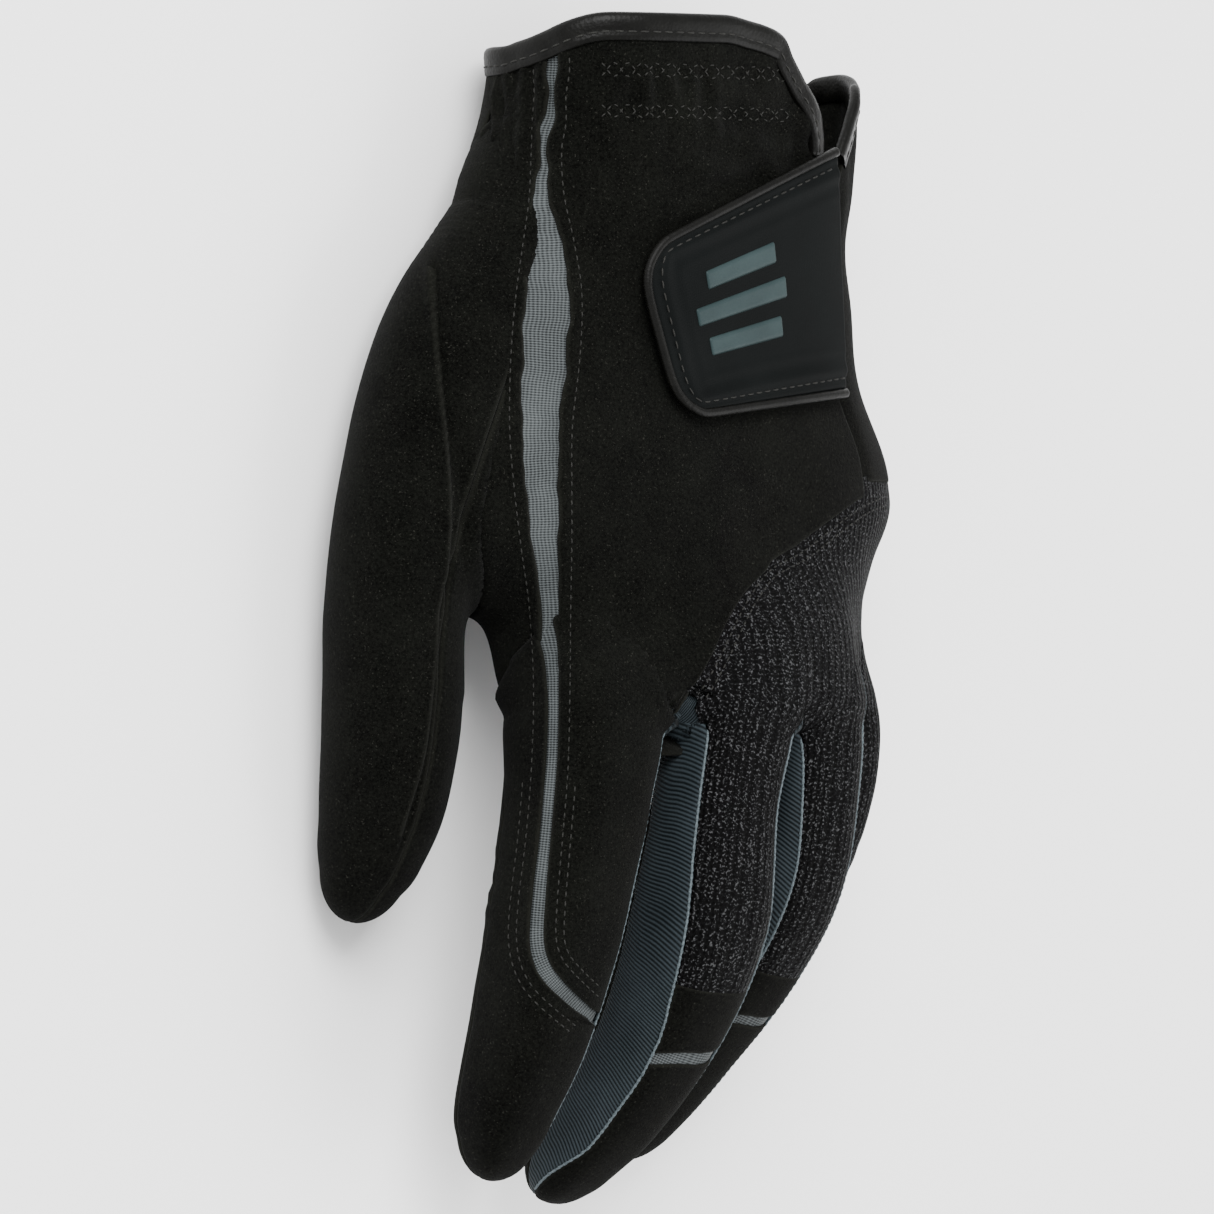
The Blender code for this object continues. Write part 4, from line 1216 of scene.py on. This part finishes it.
def index_back(start, end):
    """The index finger's back: suede on both sides of the strip, which turns off round it."""
    tube = TUBES["index"]
    trial = np.linspace(start, end, 400)
    floor = ulnar_high(tube.share(trial))

    def ends(side, spread):
        over = strip_on_index(side, spread)(trial) <= floor + 2.0
        return trial[np.argmax(over)]

    def limit(side, spread=0.0):
        at = strip_on_index(side, spread)
        return lambda share: at(tube.at(share))

    alongs = (start, ends(1, 0.0))
    finger_panel("index", "_back_panel", (ulnar_high, limit(1)), alongs, "suede", extra="_root_back")
    angles = (limit(-1), side_low)
    finger_panel("index", "_side_panel", angles, (start, end), "suede", extra="_tip_panel")
    angles, alongs = (limit(1, 0.7), limit(-1, 0.7)), (start, ends(-1, 0.7))
    finger_panel(
        "index", "_stretch_strip", angles, alongs, "strip", (), STRIP_SUNK, "_root_strip", follow_strip
    )


def thumb():
    tube = TUBES["thumb"]

    def seam(along):
        return np.interp(along, (0.0, 95.0, 120.0, tube.length), (70.0, 84.0, 90.0, 104.0))

    for name, angles, nodes in (
        ("thumb_back_panel", (seam, 226.0), ("thumb_back_panel", "thumb_base_panel")),
        ("thumb_palm_panel", (226.0, lambda along: seam(along) + FULL), ("thumb_palm_panel",)),
    ):
        sheet = Sheet(tube.point, angles, (0.5, tube.length - END_GAP), "thumb", step=0.65)
        sheet.raised(thumb_relief(sheet)).roll((0, 1), 0.35, 0.9)
        fabric(name, sheet, "suede", "thumb", nodes, sides=(0, 1))


# ---------------- things laid on the skin


class Skin:
    """The finished panels as one surface to lay strips and stitches on."""

    def __init__(self, pieces=()):
        if pieces:
            mesh = pieces[0].data
            verts = np.array([v.co for v in mesh.vertices]) / MM - SHIFT
            faces = np.array([list(f.vertices) for f in mesh.polygons])
        else:
            verts = np.concatenate(skin["verts"])
            faces = np.concatenate(skin["faces"])
        self.tree = BVHTree.FromPolygons(verts.tolist(), faces.tolist())

    def seen(self, across, y, lift=0.0):
        """The point seen at this place of the tilted view, and the surface's normal there."""
        origin = ACROSS * across + np.array((0, y, 0)) + BACKWARD * 300
        place, normal, _, _ = self.tree.ray_cast(Vector(origin), Vector(-BACKWARD))
        if place is None:
            place, normal, _, _ = self.tree.find_nearest(Vector(origin - BACKWARD * 240))
        normal = np.array(normal)
        if normal @ BACKWARD < 0:
            normal = -normal
        return np.array(place) + normal * lift, normal

    def near(self, point):
        place, normal, _, _ = self.tree.find_nearest(Vector(point))
        return np.array(place), np.array(normal)


def smoothed(values, times):
    values = np.array(values, float)
    for _ in range(times):
        values[1:-1] = (values[:-2] + 2 * values[1:-1] + values[2:]) / 4
    return values


STITCH_RING = 6
STITCH_ENDS = (-1.0, -0.8, -0.3, 0.3, 0.8, 1.0)
STITCH_SIZES = (0.25, 0.75, 1.0, 1.0, 0.75, 0.25)


def stitch_faces(base):
    ring, last = STITCH_RING, len(STITCH_ENDS) - 1
    faces = []
    for j in range(last):
        for k in range(ring):
            a, b = base + j * ring + k, base + j * ring + (k + 1) % ring
            faces.append((a, b, b + ring, a + ring))
    faces.append([base + k for k in reversed(range(ring))])
    faces.append([base + last * ring + k for k in range(ring)])
    return faces


def stitches(name, lines, place, length=2.0, gap=0.75, radius=0.24, lift=0.08):
    """Short rounded stitches along lines; each line is a pair of points and normals."""
    verts, faces = [], []
    turns = [2 * math.pi * k / STITCH_RING for k in range(STITCH_RING)]
    for points, normals in lines:
        reach = reach_along(points)

        def at(distance, rows=points, reach=reach):
            return np.array([np.interp(distance, reach, column) for column in rows.T])

        for start in np.arange(0.4, reach[-1] - length, length + gap):
            middle = start + length / 2
            normal = at(middle, normals)
            normal /= np.linalg.norm(normal)
            along = at(start + length) - at(start)
            half = np.linalg.norm(along) / 2
            along /= max(np.linalg.norm(along), 1e-9)
            side = np.cross(normal, along)
            faces += stitch_faces(len(verts))
            for end, size in zip(STITCH_ENDS, STITCH_SIZES):
                arc = lift - 0.14 * end * end
                centre = at(middle) + along * half * end + normal * arc
                for turn in turns:
                    spoke = side * math.cos(turn) + normal * math.sin(turn)
                    verts.append(centre + spoke * radius * size)
    return attach(new_object(name, np.array(verts), faces, "thread"), place)


def cord_tube(name, points, radius, look, place, sides=10, twist=None):
    """A thin tube along points, such as piping or an overlocked edge."""
    way = directions(points)
    side = unit(np.cross(way, np.array((0.3, 0.2, 0.93))))
    up = np.cross(side, way)
    size = np.full(len(points), radius)
    if twist:
        size = radius * (1 + 0.28 * np.sin(np.arange(len(points)) * twist))
    size[0] = size[-1] = radius * 0.35
    turns = [2 * math.pi * k / sides for k in range(sides)]
    n = np.array([side * math.cos(t) + up * math.sin(t) for t in turns])
    p = points + n * size[:, None]
    made = new_object(name, p.reshape(-1, 3), closed_tube(p, n), look)
    return attach(made, place)


def offset_line(line, distance):
    """The line of the view moved to its right, seen along it, for a positive distance."""
    return line[:, :2] + sideways(line) * distance


def stitch_line(surface, line, lift=0.0, settle=3):
    hits = [surface.seen(a, b, lift) for a, b in line]
    points = smoothed([h[0] for h in hits], settle)
    normals = smoothed([h[1] for h in hits], settle)
    return points, normals


def snapped(surface, points, settle=2, lift=0.0):
    hits = [surface.near(p) for p in points]
    normals = np.array([h[1] for h in hits])
    places = smoothed([h[0] for h in hits], settle) + normals * lift
    return places, normals


def back_stitches(surface):
    inner = STRIP_LINE[(STRIP_LINE[:, 1] < 110) & (STRIP_LINE[:, 1] > STRIP_END)]
    sides = []
    low = inner[:, 1] < -34
    for side in (-1, 1):
        out = sideways(inner) * side
        sides.append(inner[:, :2] + out * (inner[:, 2] + 2.5)[:, None])
        sides.append(inner[low, :2] + out[low] * (inner[low, 2] + 4.1)[:, None])
    lines = [stitch_line(surface, smoothed(line, 6)) for line in sides]
    stitches("strip_stitches", lines, "index", length=1.15, gap=0.75, radius=0.17)

    zigzag = []
    for y, span, amplitude in ((106.8, (-1.5, 36.0), 1.4), (98.6, (-1.5, 37.0), 1.3)):
        across = np.arange(span[0], span[1], 0.4)
        for shift in (0.0, math.pi):
            wave = y + amplitude * np.sin(across * 2 * math.pi / 5.6 + shift)
            zigzag.append(stitch_line(surface, np.stack([across, wave], axis=1), settle=1))
    stitches("elastic_stitches", zigzag, "hand", length=1.1, gap=0.7, radius=0.16)

    edge = smooth_line(KNIT_EDGE[1:-2])
    lines = [stitch_line(surface, offset_line(edge, d)) for d in (-1.5, -3.1)]
    stitches("knit_edge_stitches", lines, "hand", length=1.15, gap=0.75, radius=0.17)


def finger_edges(surface):
    """The overlocked edges of the stretch walls between the fingers."""
    for name in FINGERS:
        tube = TUBES[name]
        share = np.linspace(0.03, 0.985, 150)
        edges = [("_ulnar_edge", ulnar_high)] if name != "little" else []
        if name != "index":
            edges.append(("_thumb_side_edge", side_high(name)))
        for label, limit in edges:
            points, _ = snapped(surface, tube.point(limit(share), tube.at(share)), 4, 0.12)
            cord_tube(name + label, resampled(points, 0.45), 0.28, "grey_thread", name, 8, 1.9)


# ---------------- cuff binding


def rim_route():
    """The cuff's whole edge as angle and y: up the slit, round the rim and down the flap."""
    route = [(slit_back_side(y), y) for y in (91.0, 96.0, 101.0, 106.0, 110.5)]
    route += [(a, rim_on_back(a)) for a in np.linspace(82.5, THUMB_SEAM_ANGLE - 6, 18)]
    route += [(a, CUFF_PALM) for a in np.linspace(THUMB_SEAM_ANGLE + 6, PALM_ULNAR_ANGLE - 12, 16)]
    low, high = PALM_ULNAR_ANGLE, FULL + SLIT_ANGLES[2] - 4.0
    route += [(a, side_top((a - low) / (high - low))) for a in np.linspace(low + 4, high, 7)]
    route += [(FULL + slit_flap_side(y), y) for y in (102.0, 98.0, 94.5, 91.0)]
    return np.array([(float(a), float(y)) for a, y in route])


BINDING_PROFILE = (
    (4.9, -0.3), (5.0, 0.2), (4.6, 0.55), (3.7, 0.66), (3.1, 0.52), (2.5, 0.68), (1.2, 0.8),
    (0.1, 0.72), (-0.6, 0.25), (-0.85, -0.5), (-0.55, -1.2), (0.4, -1.6), (2.5, -1.6),
    (4.5, -1.45), (4.8, -1.0),
)


def cuff_binding(surface):
    route = rim_route()
    flat = resampled(smooth_table([(i, *r) for i, r in enumerate(route)], 900)[:, 1:], 0.4)
    base = hand_point(flat[:, 0], flat[:, 1])
    outward = hand_point(flat[:, 0], flat[:, 1], 1.0) - base
    points = resampled(smoothed(base, 12), 0.9)
    near = np.argmin(((points[:, None] - base) ** 2).sum(-1), axis=1)
    normals = smoothed(outward[near], 10)
    way = directions(points)
    normals = unit(normals - way * (normals * way).sum(1, keepdims=True))
    inward = smoothed(np.cross(normals, way), 6)
    skin_points = [surface.near(q + i * 3)[0] for q, i in zip(points, inward)]
    rise = smoothed(((np.array(skin_points) - points) * normals).sum(1, keepdims=True), 6)
    points = points + normals * np.clip(rise, -0.8, 0.8)
    p = np.array([points + inward * w + normals * h for w, h in BINDING_PROFILE])
    faces = closed_tube(p, p - (points + inward * 2.0 - normals * 0.4))
    made = new_object("cuff_binding", p.reshape(-1, 3), faces, "binding")
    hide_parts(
        "cuff_binding_back", "cuff_binding_palm", "cuff_binding_side",
        "slit_binding_back", "slit_binding_side",
    )
    attach(made, "hand")
    row = points + inward * 3.1 + normals * 0.55
    stitches("binding_stitches", [(row, normals)], "hand", length=1.9, gap=0.8, radius=0.22)


# ---------------- closure tab


def tab_outline(p, q):
    p = p * (1.0 - TAB_ROUND * np.abs(2 * q - 1) ** 6)
    root_low, tip_low, tip_high, root_high = (np.array(c) for c in TAB_CORNERS)
    p, q = p[..., None], q[..., None]
    low = root_low + (tip_low - root_low) * p
    high = root_high + (tip_high - root_high) * p
    spot = low + (high - low) * q
    return spot[..., 0], spot[..., 1]


def tab_point(p, q, lift):
    p, q = np.broadcast_arrays(np.asarray(p, float), np.asarray(q, float))
    across, y = tab_outline(p, q)
    return hand_point(angle_across(across, y, lift), y, lift)


def tab_sheet(span, lift, step=0.8):
    p0, p1, q0, q1 = span

    def surface(q, p, more):
        return tab_point(p, q, lift + more)

    return Sheet(surface, (q0, q1), (p0, p1), None, step=step)


def tab_border(sheet):
    e = sheet.edge_distance((0, 1, 3))
    h = 0.5 * bump_at(e - 3.9, 1.5) + 0.22 * bump_at(e - 8.2, 1.3) - 0.25 * bump_at(e - 2.3, 0.7)
    h += 0.14 * wander(sheet.p, 14, 41)
    return h


def tab_route(inset, lift, count=60):
    """The tab's free edge from the root round the tip, moved in by inset millimetres."""
    side, ends = inset / 44.0, 1 - inset / 36.0
    t = np.linspace(0, 1, count)
    p = np.concatenate([t * ends, np.full(count, ends), (1 - t) * ends])
    q = np.concatenate([np.full(count, side), side + (1 - 2 * side) * t, np.full(count, 1 - side)])
    line = resampled(tab_point(p, q, lift), 0.5)
    return smoothed(line, 14)


def closure_tab():
    backing = tab_sheet((0.0, 0.985, 0.012, 0.988), 1.6, 1.2)
    backing.roll((0, 1, 3), 0.5)
    fabric("tab_backing", backing, "suede", "closure_tab", thickness=0.7)

    face = tab_sheet((0.0, 0.975, 0.02, 0.98), 3.1, 0.7)
    face.raised(tab_border(face)).roll((0, 1, 3), 0.7, 1.0)
    made = fabric("tab_face", face, "rubber", "closure_tab", thickness=1.3)
    surface = Skin([made])

    edge = tab_route(0.2, 2.55)
    piping = cord_tube("tab_edge_piping", edge, 1.0, "binding", "closure_tab", 12)
    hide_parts("tab_piping")
    row, ways = snapped(surface, tab_route(2.9, 3.2), 2)
    stitches("tab_stitches", [(row, ways)], "closure_tab", length=1.7, gap=0.8, radius=0.2)

    for number, (q0, q1, p0, p1) in enumerate(BARS, 1):
        bar = tab_sheet((p0, p1, q0, q1), 3.55, 0.6)
        bar.raised(0.14 * wander(bar.p, 14, 41)).roll((0, 1, 2, 3), 0.35, 0.5)
        node = "tab_bar_%d" % number
        fabric(node + "_print", bar, "emblem", "closure_tab", (node,), 0.6)

    hook = tab_sheet((0.40, 0.93, 0.12, 0.86), 0.85, 1.0)
    hook.roll((0, 1, 2, 3), 0.2, 0.6)
    fabric("hook_patch", hook, "hook", "closure_tab", thickness=0.6)

    loop = tab_sheet((0.36, 0.90, 0.14, 0.84), 0.6, 1.0)
    loop.raised(0.12 * wander(loop.p, 2.2, 43)).roll((0, 1, 2, 3), 0.4, 0.8)
    fabric("loop_patch", loop, "loop", "hand", thickness=0.6)


# ---------------- studio


def studio():
    world = bpy.data.worlds.new("studio")
    world.use_nodes = True
    sky = world.node_tree.nodes["Background"].inputs
    sky["Color"].default_value = (1.0, 1.0, 1.0, 1.0)
    sky["Strength"].default_value = 1.5
    bpy.context.scene.world = world

    half = 6.0
    mesh = bpy.data.meshes.new("floor")
    corners = [(-half, -half, 0), (half, -half, 0), (half, half, 0), (-half, half, 0)]
    mesh.from_pydata(corners, [], [(0, 1, 2, 3)])
    floor = placed("floor", mesh)
    floor.location.z = -0.0009
    paper = bpy.data.materials.new("pale_floor")
    paper.use_nodes = True
    shader = paper.node_tree.nodes["Principled BSDF"].inputs
    shader["Base Color"].default_value = (0.93, 0.93, 0.93, 1)
    shader["Roughness"].default_value = 0.9
    mesh.materials.append(paper)

    for name, place, size, power in (
        ("key", (-0.75, 0.95, 1.25), 1.0, 58.0),
        ("fill", (0.9, -0.5, 1.0), 1.4, 24.0),
        ("rim", (-1.2, -0.9, 0.5), 1.0, 6.0),
    ):
        data = bpy.data.lights.new(name, "AREA")
        data.size = size
        data.energy = power
        light = placed(name, data)
        light.location = place
        light.rotation_mode = "QUATERNION"
        light.rotation_quaternion = (-Vector(place)).to_track_quat("-Z", "Y")

    data = bpy.data.cameras.new("camera")
    data.lens, data.sensor_width = LENS, SENSOR
    camera = placed("camera", data)
    away = LENS / SENSOR * VIEW_WIDTH + MIDDLE_DEPTH
    place = SHIFT * MM + BACKWARD * away
    turn = Matrix((ACROSS, (0, 1, 0), BACKWARD)).transposed().to_4x4()
    camera.matrix_world = Matrix.Translation(Vector(place)) @ turn
    data.clip_start, data.clip_end = 0.05, 30.0
    bpy.context.scene.camera = camera


def main():
    hand_panels()
    for name in FINGERS:
        finger(name)
    thumb()
    surface = Skin()
    back_stitches(surface)
    finger_edges(surface)
    cuff_binding(surface)
    closure_tab()
    studio()


main()
